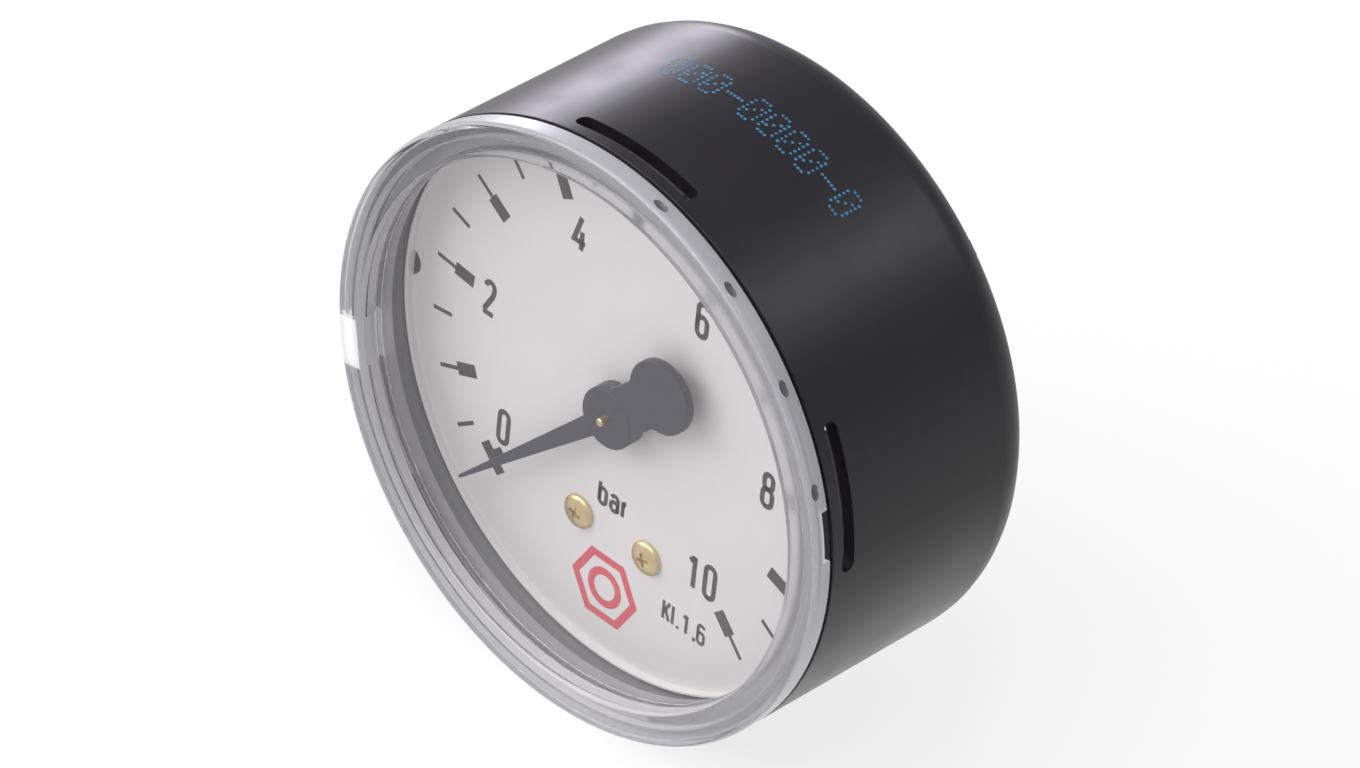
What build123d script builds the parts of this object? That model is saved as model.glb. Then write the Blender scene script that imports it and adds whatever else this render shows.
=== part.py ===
from build123d import *
from math import acos, ceil, cos, hypot, pi, radians, sin, tan
import os

# Bourdon tube pressure gauge, nominal size 63, back connection G 1/4 B, 0 to 10 bar, millimetres.
# The origin is the centre of the stem's sealing shoulder. +X is to the reader's right, +Z is up
# and +Y runs along the gauge's axis from the dial to the process, so the front looks along -Y.
# Angles on the dial are counter-clockwise from +X, as the reader sees them.

os.makedirs("parts", exist_ok=True)

# ---- clearances ----------------------------------------------------------------------------------
press_gap = 0.01        # between pieces that are pressed or riveted together
running_gap = 0.03      # radial play of a pivot in its bearing
fit_gap = 0.1           # between pieces that are dropped in place
open_pivot_gap = 0.15   # radial play of the link's pin in the tube tip
moving_gap = 0.3        # between pieces that pass each other

# ---- stem: thread, wrench square, flange and tube block --------------------------------------------
thread_radius = 13.157 / 2    # G 1/4
thread_pitch = 1.337
thread_depth = 0.856
thread_length = 11.0
thread_flank_angle = 27.5
thread_root_flat = 0.22
relief_width = 2.1            # a flat ring of 2 mm lies on the shoulder inside it
pilot_radius = 2.5
pilot_length = 2.0
wrench_across = 14.0
wrench_length = 7.0
wrench_turned_radius = 9.1
spigot_radius = 7.3
flange_radius = 14.5
flange_thickness = 3.0
block_width = 13.0
block_depth = 5.0
block_top = 6.0
block_tube_cover = 1.6
block_edge_radius = 1.2
inlet_radius = 1.75
inlet_length = 9.0
channel_radius = 0.9
cross_channel_angle = 267.5
restrictor_length = 3.0
restrictor_bore_radius = 0.25
restrictor_inset = 3.0

# ---- drives in the screw heads, in shares of the head's radius or height -----------------------------
cross_bar_share = 0.2
cross_reach_share = 1.2
cross_depth_share = 0.7
cross_taper = 8
slot_bar_share = 0.25
slot_depth_share = 0.5
head_round_share = 0.6
head_chamfer_share = 0.25

# ---- case and window -------------------------------------------------------------------------------
case_radius = 31.5
case_wall = 1.9
floor_thickness = 2.2
case_rear_radius = 4.6
case_inner_radius = 1.5
skirt_seat_step = 0.3
window_room = 6.35            # from the dial's face to the case's front edge
skirt_seat_depth = 3.4
skirt_wall = 1.5
skirt_length = 1.8
flange_height = 2.25          # the window's ring in front of the case
pane_thickness = 2.0
pane_inset = 1.6              # the ring stands in front of the pane by this
rim_width = 3.5
rim_lip = 0.6                 # the part of the ring that stands on the case
rim_groove_depth = 1.25       # behind the ring, between its lip and the skirt
rim_edge_radius = 0.45
snap_count = 5
snap_first_angle = 89.0
snap_slot_arc = 28.0
snap_slot_width = 1.6
snap_slot_depth = 2.35        # from the case's front edge to the slot's middle
snap_bead_arc = 24.0
snap_bead_height = 1.1
snap_bead_width = 1.2
pry_notch_angle = 12.0
pry_notch_width = 5.4
pry_notch_length = 2.5
pry_notch_depth = 0.7
dial_rib_count = 4
dial_rib_width = 1.6
dial_rib_length = 1.8
key_radius = 1.3
key_angle = 180.0
case_screw_circle_radius = 11.5
case_screw_count = 3
case_screw_shank_radius = 1.5
case_screw_head_radius = 2.9

# ---- dial ------------------------------------------------------------------------------------------
dial_thickness = 0.8
dial_edge_gap = 0.2
dial_rim_width = 0.35
dial_rim_height = 0.75
dial_hole_radius = 2.0
dial_screw_x = 4.55
dial_screw_z = -15.1
dial_screw_head_radius = 1.8
dial_screw_head_height = 1.0
dial_screw_shank_radius = 0.8
dial_screw_length = 2.6
dial_post_radius = 1.7
dial_post_length = 2.3

# ---- movement --------------------------------------------------------------------------------------
plate_thickness = 1.2
pillar_length = 6.0
pillar_radius = 2.0
pillar_x = 9.0
pillar_z = -7.0
plate_margin = 0.7
plate_top_radius = 6.5
plate_top_z = 1.0
tenon_radius = 0.9
movement_screw_head_radius = 1.5
movement_screw_head_height = 0.8
movement_screw_shank_radius = 0.8
movement_screw_length = 3.0
mount_screw_head_radius = 1.9
mount_screw_shank_radius = 1.0
mount_screw_length = 4.0
mount_screw_places = ((-4.4, 3.4), (4.4, -8.0))

# ---- gear train ------------------------------------------------------------------------------------
gear_module = 0.2
pinion_teeth = 12
sector_wheel_teeth = 108      # teeth that the sector would have as a full wheel
pressure_angle = radians(25)
addendum = 0.8                # in modules
dedendum = 1.05               # in modules
tooth_play = 0.05
sector_travel = 30.3          # degrees from zero to full scale
spare_teeth = 3
sector_thickness = 1.0
sector_rim_width = 1.5
sector_spoke_width = 1.5
sector_hub_radius = 2.0
tail_radius = 4.6             # from the sector's arbor to the link's pin
tail_angle = -105.0
tail_width = 2.2
tail_eye_radius = 1.1
pinion_length = 2.2
arbor_radius = 0.75
arbor_tip_radius = 0.42
pivot_radius = 0.45
end_shake = 0.1

# ---- link, tube and tube tip -----------------------------------------------------------------------
link_thickness = 0.5
link_width = 1.4
link_eye_radius = 1.1
pin_radius = 0.5
pin_head_radius = 0.85
pin_head_height = 0.25
tube_side_room = 8.1          # from the tube's middle line to the case's bore
tube_width = 2.4
tube_height = 6.6
tube_wall = 0.3
tube_floor_gap = 0.9
tube_root_angle = 262.0
tube_tip_angle = -20.0
socket_end_angle = 266.5
socket_mouth_angle = 250.0
tip_wall = 0.7
tip_overlap_angle = 5.0
tip_cap_angle = 3.0
tip_pin_angle = -33.7
tip_pin_inset = 1.7
tip_eye_radius = 1.4

# ---- hairspring ------------------------------------------------------------------------------------
hairspring_half_turns = 8
hairspring_strip = 0.12
hairspring_width = 0.5
hairspring_step = 0.45        # growth of the radius in each half turn
hairspring_end_angle = 160.0
collet_radius = 1.45
collet_width = 0.7
stud_radius = 0.6

# ---- pointer ---------------------------------------------------------------------------------------
pointer_angle = 225.0
pointer_length = 26.3
pointer_root_width = 2.5
pointer_tip_width = 0.35
pointer_lift = 1.8            # from the dial to the back of the blade
pointer_thickness = 0.5
hub_radius = 3.2
hub_lift = 0.8
hub_height = 2.4
neck_width = 4.9
neck_fillet = 1.2
tail_disc_radius = 4.1
tail_disc_reach = 8.5
tail_disc_thickness = 0.9
bush_radius = 1.0
bush_length = 1.7
arbor_tip_height = 3.7        # from the dial to the arbor's end

# ---- stations along the axis, from the sealing shoulder towards the reader ----------------------------
case_back = -wrench_length
floor_front = case_back - floor_thickness
flange_front = floor_front - flange_thickness
block_front = flange_front - block_depth
back_plate_front = block_front - plate_thickness
front_plate_back = back_plate_front - pillar_length
front_plate_front = front_plate_back - plate_thickness
dial_back = front_plate_front - dial_post_length
dial_front = dial_back - dial_thickness
case_front = dial_front - window_room
skirt_seat = case_front + skirt_seat_depth
rim_front = case_front - flange_height
pane_front = rim_front + pane_inset
pane_back = pane_front + pane_thickness
skirt_end = pane_back + skirt_length
slot_station = case_front + snap_slot_depth
rim_groove = case_front - rim_groove_depth
tube_middle = floor_front - tube_floor_gap - tube_height / 2
link_back = back_plate_front - pin_head_height - moving_gap + press_gap
link_front = link_back - link_thickness
sector_back = link_front - moving_gap
sector_front = sector_back - sector_thickness
sector_middle = (sector_back + sector_front) / 2
lug_front = link_back + moving_gap
collet_back = sector_middle - pinion_length / 2 - moving_gap
collet_front = collet_back - collet_width
spring_middle = (collet_back + collet_front) / 2
arbor_step = dial_front - moving_gap
arbor_tip = dial_front - arbor_tip_height
hub_back = dial_front - hub_lift
hub_front = hub_back - hub_height
blade_back = dial_front - pointer_lift
bush_front = hub_back - bush_length

# ---- radii and places across the axis ----------------------------------------------------------------
case_bore = case_radius - case_wall
skirt_seat_radius = case_bore + skirt_seat_step
skirt_radius = skirt_seat_radius - fit_gap
skirt_bore = skirt_radius - skirt_wall
dial_radius = case_bore - dial_edge_gap
tube_radius = case_bore - tube_side_room
tube_outer = tube_radius + tube_width / 2
block_bottom = -(tube_outer + block_tube_cover)
pinion_pitch_radius = gear_module * pinion_teeth / 2
sector_pitch_radius = gear_module * sector_wheel_teeth / 2
sector_z = -(pinion_pitch_radius + sector_pitch_radius)
sector_root_radius = sector_pitch_radius - dedendum * gear_module
tooth_angle = 360 / sector_wheel_teeth
sector_teeth = ceil(sector_travel / tooth_angle) + spare_teeth
sector_first_angle = 90 + 1.5 * tooth_angle
sector_last_angle = sector_first_angle - (sector_teeth - 1) * tooth_angle
tail_x = tail_radius * cos(radians(tail_angle))
tail_z = sector_z + tail_radius * sin(radians(tail_angle))
tip_pin_radius = tube_radius - tip_pin_inset
tip_pin_x = tip_pin_radius * cos(radians(tip_pin_angle))
tip_pin_z = tip_pin_radius * sin(radians(tip_pin_angle))
link_length = hypot(tip_pin_x - tail_x, tip_pin_z - tail_z)
link_x_dir = ((tip_pin_x - tail_x) / link_length, 0, (tip_pin_z - tail_z) / link_length)
snap_angles = [snap_first_angle + i * 360 / snap_count for i in range(snap_count)]
crest_count = int((thread_length - relief_width) // thread_pitch)


def facing_front(y, x=0, z=0, turn=0):
    """A plane at depth y that faces the reader, with its x axis turned counter-clockwise."""
    x_dir = (cos(radians(turn)), 0, sin(radians(turn)))
    return Plane(origin=(x, y, z), x_dir=x_dir, z_dir=(0, -1, 0))


def facing_back(y, x=0, z=0):
    """A plane at depth y that faces the process connection."""
    return Plane(origin=(x, y, z), x_dir=(-1, 0, 0), z_dir=(0, 1, 0))


def through_axis(turn=0):
    """A plane that holds the gauge's axis: its x is the radius and its y is the depth."""
    x_dir = (cos(radians(turn)), 0, sin(radians(turn)))
    return Plane(origin=(0, 0, 0), x_dir=x_dir, z_dir=(-x_dir[2], 0, x_dir[0]))


def outward(turn, y):
    """A plane on the gauge's axis at depth y that faces outwards at an angle."""
    z_dir = (cos(radians(turn)), 0, sin(radians(turn)))
    return Plane(origin=(0, y, 0), x_dir=(0, 1, 0), z_dir=z_dir)


def save(piece, node):
    piece.part.label = node
    export_step(piece.part, f"parts/{node}.step")


def cylinder_between(radius, start, end, mode=Mode.ADD):
    """A round bar or hole on the gauge's axis from one depth to another, nearer the reader."""
    with Locations(facing_front(start)):
        Cylinder(radius, start - end, align=(Align.CENTER, Align.CENTER, Align.MIN), mode=mode)


def plate_outline():
    """The shape of both movement plates: round corners about the pillars, posts and arbor."""
    with Locations((-pillar_x, pillar_z), (pillar_x, pillar_z)):
        Circle(pillar_radius + plate_margin)
    with Locations((-dial_screw_x, dial_screw_z), (dial_screw_x, dial_screw_z)):
        Circle(dial_post_radius + plate_margin)
    with Locations((0, plate_top_z)):
        Circle(plate_top_radius)
    make_hull()


def involute(angle):
    return tan(angle) - angle


def tooth_corners(teeth):
    """Corners of one involute tooth that points along +X from its wheel's centre."""
    pitch_radius = gear_module * teeth / 2
    base_radius = pitch_radius * cos(pressure_angle)
    root_radius = pitch_radius - dedendum * gear_module
    tip_radius = pitch_radius + addendum * gear_module
    half_at_pitch = (pi * gear_module / 2 - tooth_play) / (2 * pitch_radius)
    start = max(root_radius, base_radius)
    flank = [(root_radius - gear_module / 2, start)]
    steps = 5
    for i in range(steps + 1):
        radius = start + (tip_radius - start) * i / steps
        flank.append((radius, radius))
    corners = []
    for reach, radius in flank:
        half = half_at_pitch + involute(pressure_angle) - involute(acos(base_radius / radius))
        corners.append((reach * cos(half), reach * sin(half)))
    return corners + [(x, -y) for x, y in reversed(corners)]


# ==== fasteners, each modelled with its axis on +Z and its head's seat or top at z = 0 =================
with BuildPart() as case_screw:
    with BuildSketch(Plane.XZ):
        with BuildLine():
            sink = case_screw_head_radius - case_screw_shank_radius
            screw_length = floor_thickness + flange_thickness - fit_gap
            Polyline(
                (0, 0),
                (case_screw_head_radius, 0),
                (case_screw_shank_radius, -sink),
                (case_screw_shank_radius, -screw_length),
                (0, -screw_length),
                close=True,
            )
        make_face()
    revolve(axis=Axis.Z)
    with BuildSketch(Plane.XY):
        Rectangle(case_screw_head_radius, cross_bar_share * case_screw_head_radius)
        Rectangle(cross_bar_share * case_screw_head_radius, case_screw_head_radius)
    extrude(amount=-cross_depth_share * case_screw_shank_radius, taper=cross_taper, mode=Mode.SUBTRACT)

with BuildPart() as dial_screw:
    with BuildSketch(Plane.XY):
        Circle(dial_screw_head_radius)
    extrude(amount=dial_screw_head_height)
    fillet(dial_screw.edges().group_by(Axis.Z)[-1], head_round_share * dial_screw_head_height)
    with BuildSketch(Plane.XY.offset(dial_screw_head_height)):
        Rectangle(cross_reach_share * dial_screw_head_radius, slot_bar_share * dial_screw_head_radius)
        Rectangle(slot_bar_share * dial_screw_head_radius, cross_reach_share * dial_screw_head_radius)
    extrude(amount=-cross_depth_share * dial_screw_head_height, taper=cross_taper, mode=Mode.SUBTRACT)
    with BuildSketch(Plane.XY):
        Circle(dial_screw_shank_radius)
    extrude(amount=-dial_screw_length)

with BuildPart() as movement_screw:
    with BuildSketch(Plane.XY):
        Circle(movement_screw_head_radius)
    extrude(amount=movement_screw_head_height)
    chamfer(movement_screw.edges().group_by(Axis.Z)[-1], head_chamfer_share * movement_screw_head_height)
    with BuildSketch(Plane.XY.offset(movement_screw_head_height)):
        Rectangle(3 * movement_screw_head_radius, slot_bar_share * movement_screw_head_radius)
    extrude(amount=-slot_depth_share * movement_screw_head_height, mode=Mode.SUBTRACT)
    with BuildSketch(Plane.XY):
        Circle(movement_screw_shank_radius)
    extrude(amount=-movement_screw_length)

with BuildPart() as mount_screw:
    with BuildSketch(Plane.XZ):
        with BuildLine():
            mount_sink = mount_screw_head_radius - mount_screw_shank_radius
            Polyline(
                (0, 0),
                (mount_screw_head_radius, 0),
                (mount_screw_shank_radius, -mount_sink),
                (mount_screw_shank_radius, -mount_screw_length),
                (0, -mount_screw_length),
                close=True,
            )
        make_face()
    revolve(axis=Axis.Z)
    with BuildSketch(Plane.XY):
        Rectangle(3 * mount_screw_head_radius, slot_bar_share * mount_screw_head_radius)
    extrude(amount=-slot_depth_share * mount_sink, mode=Mode.SUBTRACT)

# ==== process connection =============================================================================
# one thread groove at the real pitch, depth and flank angle
flank_run = thread_depth * tan(radians(thread_flank_angle))
half_root = thread_root_flat / 2
with BuildSketch() as thread_groove:
    with BuildLine():
        Polyline(
            (thread_radius + fit_gap, -flank_run - half_root),
            (thread_radius, -flank_run - half_root),
            (thread_radius - thread_depth, -half_root),
            (thread_radius - thread_depth, half_root),
            (thread_radius, flank_run + half_root),
            (thread_radius + fit_gap, flank_run + half_root),
            close=True,
        )
    make_face()

with BuildPart() as stem:
    with BuildSketch(Plane.XY):
        with BuildLine():
            Polyline(
                (0, block_front),
                (spigot_radius, block_front),
                (spigot_radius, 0),
                (thread_radius - thread_depth, 0),
                (thread_radius - thread_depth, relief_width),
                (thread_radius, relief_width),
                (thread_radius, thread_length - thread_depth),
                (thread_radius - thread_depth, thread_length),
                (pilot_radius, thread_length),
                (pilot_radius, thread_length + pilot_length),
                (0, thread_length + pilot_length),
                close=True,
            )
        make_face()
    revolve(axis=Axis.Y)
    with BuildSketch(Plane.XY):
        with Locations(*[(0, relief_width + thread_pitch * (i + 0.5)) for i in range(crest_count)]):
            add(thread_groove.sketch)
    revolve(axis=Axis.Y, mode=Mode.SUBTRACT)
    # wrench square with turned corners
    with BuildSketch(facing_front(0)):
        Rectangle(wrench_across, wrench_across)
        Circle(wrench_turned_radius, mode=Mode.INTERSECT)
    extrude(amount=wrench_length)
    # flange inside the case, and the block that holds the tube and the movement
    with BuildSketch(facing_front(floor_front)):
        Circle(flange_radius)
    extrude(amount=flange_thickness)
    with BuildSketch(facing_front(floor_front)):
        with Locations((0, (block_top + block_bottom) / 2)):
            RectangleRounded(block_width, block_top - block_bottom, block_edge_radius)
    extrude(amount=flange_thickness + block_depth)
    # socket for the tube's root, with room behind it for the pressure channel
    with BuildSketch(through_axis(socket_end_angle)):
        with Locations((tube_radius, tube_middle)):
            SlotOverall(tube_height + 2 * press_gap, tube_width + 2 * press_gap, rotation=90)
    revolve(axis=Axis.Y, revolution_arc=socket_end_angle - socket_mouth_angle, mode=Mode.SUBTRACT)
    # inlet, axial channel and the cross channel to the socket
    cylinder_between(inlet_radius, thread_length + pilot_length,
                     thread_length + pilot_length - inlet_length, Mode.SUBTRACT)
    cylinder_between(channel_radius, thread_length, tube_middle - channel_radius, Mode.SUBTRACT)
    with BuildSketch(outward(cross_channel_angle, tube_middle)):
        Circle(channel_radius)
    extrude(amount=tube_radius, mode=Mode.SUBTRACT)
    # tapped holes for the case screws and the movement's mounting screws
    with BuildSketch(facing_front(floor_front)):
        with PolarLocations(case_screw_circle_radius, case_screw_count, 90):
            Circle(case_screw_shank_radius + press_gap)
    extrude(amount=flange_thickness, mode=Mode.SUBTRACT)
    with BuildSketch(facing_front(block_front)):
        with Locations(*mount_screw_places):
            Circle(mount_screw_shank_radius + press_gap)
    extrude(amount=-mount_screw_length, mode=Mode.SUBTRACT)
save(stem, "stem")

with BuildPart() as restrictor_screw:
    restrictor_outer = thread_length + pilot_length - restrictor_inset
    cylinder_between(inlet_radius - press_gap, restrictor_outer, restrictor_outer - restrictor_length)
    cylinder_between(restrictor_bore_radius, restrictor_outer,
                     restrictor_outer - restrictor_length, Mode.SUBTRACT)
    with BuildSketch(facing_back(restrictor_outer)):
        Rectangle(3 * inlet_radius, slot_bar_share * inlet_radius)
    extrude(amount=-slot_depth_share * inlet_radius, mode=Mode.SUBTRACT)
save(restrictor_screw, "restrictor_screw")

# ==== case ==========================================================================================
with BuildPart() as case:
    with BuildSketch(Plane.XY):
        with BuildLine():
            Polyline(
                (0, case_back),
                (case_radius, case_back),
                (case_radius, case_front),
                (skirt_seat_radius, case_front),
                (skirt_seat_radius, skirt_seat),
                (case_bore, skirt_seat),
                (case_bore, floor_front),
                (0, floor_front),
                close=True,
            )
        make_face()
    revolve(axis=Axis.Y)
    fillet(case.edges().filter_by_position(Axis.Y, case_back, case_back), case_rear_radius)
    fillet(case.edges().filter_by_position(Axis.Y, floor_front, floor_front), case_inner_radius)
    # ribs that carry the dial's edge, and the key that stops it turning
    with BuildSketch(facing_front(case_back - floor_thickness / 2)):
        with PolarLocations(case_bore - dial_rib_length / 2, dial_rib_count, 45):
            Rectangle(dial_rib_length + 2 * fit_gap, dial_rib_width)
    extrude(amount=floor_thickness / 2 + floor_front - dial_back)
    with BuildSketch(facing_front(floor_front)):
        with PolarLocations(case_bore, 1, key_angle):
            Circle(key_radius)
    extrude(amount=floor_front - dial_front - dial_thickness / 2)
    # snap slots with round ends
    slot_end_angle = snap_slot_arc / 2 - 90 * snap_slot_width / (pi * case_radius)
    for angle in snap_angles:
        with BuildSketch(through_axis(angle + slot_end_angle)):
            with Locations((case_radius, slot_station)):
                Rectangle(2 * (case_radius - case_bore), snap_slot_width)
        revolve(axis=Axis.Y, revolution_arc=2 * slot_end_angle, mode=Mode.SUBTRACT)
        for end in (-slot_end_angle, slot_end_angle):
            with BuildSketch(outward(angle + end, slot_station)):
                Circle(snap_slot_width / 2)
            extrude(amount=case_radius + fit_gap, mode=Mode.SUBTRACT)
    # hole for the stem and countersunk holes for its screws
    with Locations(facing_back(case_back)):
        Hole(spigot_radius + fit_gap, floor_thickness)
        with PolarLocations(case_screw_circle_radius, case_screw_count, 90):
            CounterSinkHole(
                case_screw_shank_radius + fit_gap,
                case_screw_head_radius + fit_gap,
                floor_thickness,
                90,
            )
save(case, "case")

with BuildPart(facing_back(case_back)) as case_screws:
    with PolarLocations(case_screw_circle_radius, case_screw_count, 90):
        add(case_screw.part)
save(case_screws, "case_screws")

# ==== window ========================================================================================
with BuildPart() as window:
    with BuildSketch(Plane.XY):
        with BuildLine():
            Polyline(
                (0, pane_back),
                (skirt_bore, pane_back),
                (skirt_bore, skirt_end),
                (skirt_radius, skirt_end),
                (skirt_radius, rim_groove),
                (case_radius - rim_lip, rim_groove),
                (case_radius - rim_lip, case_front),
                (case_radius, case_front),
                (case_radius, rim_front),
                (case_radius - rim_width, rim_front),
                (case_radius - rim_width, pane_front),
                (0, pane_front),
                close=True,
            )
        make_face()
    revolve(axis=Axis.Y)
    fillet(window.edges().filter_by_position(Axis.Y, rim_front, rim_front), rim_edge_radius)
    # beads that click into the case's slots
    for angle in snap_angles:
        with BuildSketch(through_axis(angle + snap_bead_arc / 2)):
            with BuildLine():
                Polyline(
                    (skirt_radius - fit_gap, slot_station + snap_bead_width / 2),
                    (skirt_radius + snap_bead_height / 3, slot_station + snap_bead_width / 2),
                    (skirt_radius + snap_bead_height, slot_station),
                    (skirt_radius + snap_bead_height, slot_station - snap_bead_width / 2),
                    (skirt_radius - fit_gap, slot_station - snap_bead_width / 2),
                    close=True,
                )
            make_face()
        revolve(axis=Axis.Y, revolution_arc=snap_bead_arc)
    # two notches behind the ring, where a blade lifts the window off
    with BuildSketch(facing_front(case_front)):
        with PolarLocations(case_radius, 2, pry_notch_angle):
            Rectangle(2 * pry_notch_length, pry_notch_width)
        Circle(skirt_radius, mode=Mode.SUBTRACT)
    extrude(amount=pry_notch_depth, mode=Mode.SUBTRACT)
save(window, "window")

# ==== dial and its fixings ==========================================================================
with BuildPart() as dial:
    with BuildSketch(facing_front(dial_back)):
        Circle(dial_radius)
        Circle(dial_hole_radius, mode=Mode.SUBTRACT)
        with Locations((-dial_screw_x, dial_screw_z), (dial_screw_x, dial_screw_z)):
            Circle(dial_screw_shank_radius + fit_gap, mode=Mode.SUBTRACT)
        with PolarLocations(case_bore, 1, key_angle):
            Circle(key_radius + moving_gap, mode=Mode.SUBTRACT)
    extrude(amount=dial_thickness)
    # raised rim
    with BuildSketch(facing_front(dial_front)):
        Circle(dial_radius)
        Circle(dial_radius - dial_rim_width, mode=Mode.SUBTRACT)
    extrude(amount=dial_rim_height)
save(dial, "dial")

with BuildPart(facing_front(dial_front)) as dial_screws:
    with Locations((-dial_screw_x, dial_screw_z), (dial_screw_x, dial_screw_z)):
        add(dial_screw.part)
save(dial_screws, "dial_screws")

with BuildPart(facing_front(front_plate_front)) as dial_posts:
    with Locations((-dial_screw_x, dial_screw_z), (dial_screw_x, dial_screw_z)):
        Cylinder(dial_post_radius, dial_post_length, align=(Align.CENTER, Align.CENTER, Align.MIN))
        Cylinder(tenon_radius, plate_thickness, align=(Align.CENTER, Align.CENTER, Align.MAX))
        Cylinder(
            dial_screw_shank_radius + press_gap,
            dial_post_length,
            align=(Align.CENTER, Align.CENTER, Align.MIN),
            mode=Mode.SUBTRACT,
        )
save(dial_posts, "dial_posts")

# ==== movement frame ================================================================================
with BuildPart() as movement_back_plate:
    with BuildSketch(facing_front(block_front)):
        plate_outline()
        with Locations((-pillar_x, pillar_z), (pillar_x, pillar_z)):
            Circle(tenon_radius + press_gap, mode=Mode.SUBTRACT)
        with Locations((0, 0), (0, sector_z)):
            Circle(pivot_radius + running_gap, mode=Mode.SUBTRACT)
    extrude(amount=plate_thickness)
    with Locations(facing_front(back_plate_front)):
        with Locations(*mount_screw_places):
            CounterSinkHole(
                mount_screw_shank_radius + press_gap,
                mount_screw_head_radius + press_gap,
                plate_thickness,
                90,
            )
save(movement_back_plate, "movement_back_plate")

with BuildPart(facing_front(back_plate_front)) as movement_mount_screws:
    with Locations(*mount_screw_places):
        add(mount_screw.part)
save(movement_mount_screws, "movement_mount_screws")

with BuildPart(facing_front(back_plate_front)) as movement_pillars:
    with Locations((-pillar_x, pillar_z), (pillar_x, pillar_z)):
        Cylinder(pillar_radius, pillar_length, align=(Align.CENTER, Align.CENTER, Align.MIN))
        Cylinder(tenon_radius, plate_thickness, align=(Align.CENTER, Align.CENTER, Align.MAX))
    with BuildSketch(facing_front(front_plate_back)):
        with Locations((-pillar_x, pillar_z), (pillar_x, pillar_z)):
            Circle(movement_screw_shank_radius + press_gap)
    extrude(amount=-movement_screw_length, mode=Mode.SUBTRACT)
save(movement_pillars, "movement_pillars")

with BuildPart() as movement_front_plate:
    with BuildSketch(facing_front(front_plate_back)):
        plate_outline()
        with Locations((-pillar_x, pillar_z), (pillar_x, pillar_z)):
            Circle(movement_screw_shank_radius + press_gap, mode=Mode.SUBTRACT)
        with Locations((-dial_screw_x, dial_screw_z), (dial_screw_x, dial_screw_z)):
            Circle(tenon_radius + press_gap, mode=Mode.SUBTRACT)
        Circle(arbor_radius + running_gap, mode=Mode.SUBTRACT)
        with Locations((0, sector_z)):
            Circle(pivot_radius + running_gap, mode=Mode.SUBTRACT)
    extrude(amount=plate_thickness)
save(movement_front_plate, "movement_front_plate")

with BuildPart(facing_front(front_plate_front)) as movement_screws:
    with Locations((-pillar_x, pillar_z), (pillar_x, pillar_z)):
        add(movement_screw.part)
save(movement_screws, "movement_screws")

# ==== gear train ====================================================================================
with BuildSketch() as sector_tooth:
    with BuildLine():
        Polyline(*tooth_corners(sector_wheel_teeth), close=True)
    make_face()

with BuildSketch() as pinion_tooth:
    with BuildLine():
        Polyline(*tooth_corners(pinion_teeth), close=True)
    make_face()

with BuildPart() as sector_gear:
    with BuildSketch(facing_front(sector_back, 0, sector_z)):
        rim_start = sector_last_angle - tooth_angle / 2
        rim_arc = sector_first_angle - sector_last_angle + tooth_angle
        middle_radius = sector_root_radius - sector_rim_width / 2
        with BuildLine() as rim_line:
            CenterArc((0, 0), middle_radius, rim_start, rim_arc)
        trace(line_width=sector_rim_width)
        with BuildLine() as spokes:
            for angle in (rim_start + tooth_angle, rim_start + rim_arc - tooth_angle):
                Line((0, 0), (middle_radius * cos(radians(angle)), middle_radius * sin(radians(angle))))
        trace(line_width=sector_spoke_width)
        with PolarLocations(0, sector_teeth, sector_last_angle, (sector_teeth - 1) * tooth_angle,
                            endpoint=True):
            add(sector_tooth.sketch)
        Circle(sector_hub_radius)
        with PolarLocations(tail_radius / 2, 1, tail_angle):
            Rectangle(tail_radius, tail_width)
        with PolarLocations(tail_radius, 1, tail_angle):
            Circle(tail_eye_radius)
            Circle(pin_radius + press_gap, mode=Mode.SUBTRACT)
        Circle(arbor_radius + press_gap, mode=Mode.SUBTRACT)
    extrude(amount=sector_thickness)
save(sector_gear, "sector_gear")

with BuildPart() as sector_arbor:
    with BuildSketch(facing_front(back_plate_front - end_shake, 0, sector_z)):
        Circle(arbor_radius)
    extrude(amount=pillar_length - 2 * end_shake)
    with BuildSketch(facing_front(block_front - end_shake, 0, sector_z)):
        Circle(pivot_radius)
    extrude(amount=pillar_length + 2 * plate_thickness - end_shake)
save(sector_arbor, "sector_arbor")

with BuildPart() as sector_pin:
    with BuildSketch(facing_front(link_back, tail_x, tail_z)):
        Circle(pin_radius)
    extrude(amount=link_back - sector_front)
    with BuildSketch(facing_front(link_back, tail_x, tail_z)):
        Circle(pin_head_radius)
    extrude(amount=-pin_head_height)
save(sector_pin, "sector_pin")

with BuildPart() as pinion_arbor:
    with BuildSketch(facing_front(sector_middle + pinion_length / 2, 0, 0, 90)):
        Circle(pinion_pitch_radius - dedendum * gear_module)
        with PolarLocations(0, pinion_teeth):
            add(pinion_tooth.sketch)
    extrude(amount=pinion_length)
    cylinder_between(arbor_radius, back_plate_front - end_shake, arbor_step)
    cylinder_between(pivot_radius, block_front - end_shake, back_plate_front - end_shake)
    cylinder_between(arbor_tip_radius, arbor_step, arbor_tip)
    chamfer(pinion_arbor.edges().group_by(Axis.Y)[0], arbor_tip_radius / 4)
save(pinion_arbor, "pinion_arbor")

# ==== hairspring ====================================================================================
with BuildPart() as hairspring_collet:
    cylinder_between(collet_radius, collet_back, collet_front)
    cylinder_between(arbor_radius + press_gap, collet_back, collet_front, Mode.SUBTRACT)
save(hairspring_collet, "hairspring_collet")

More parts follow.
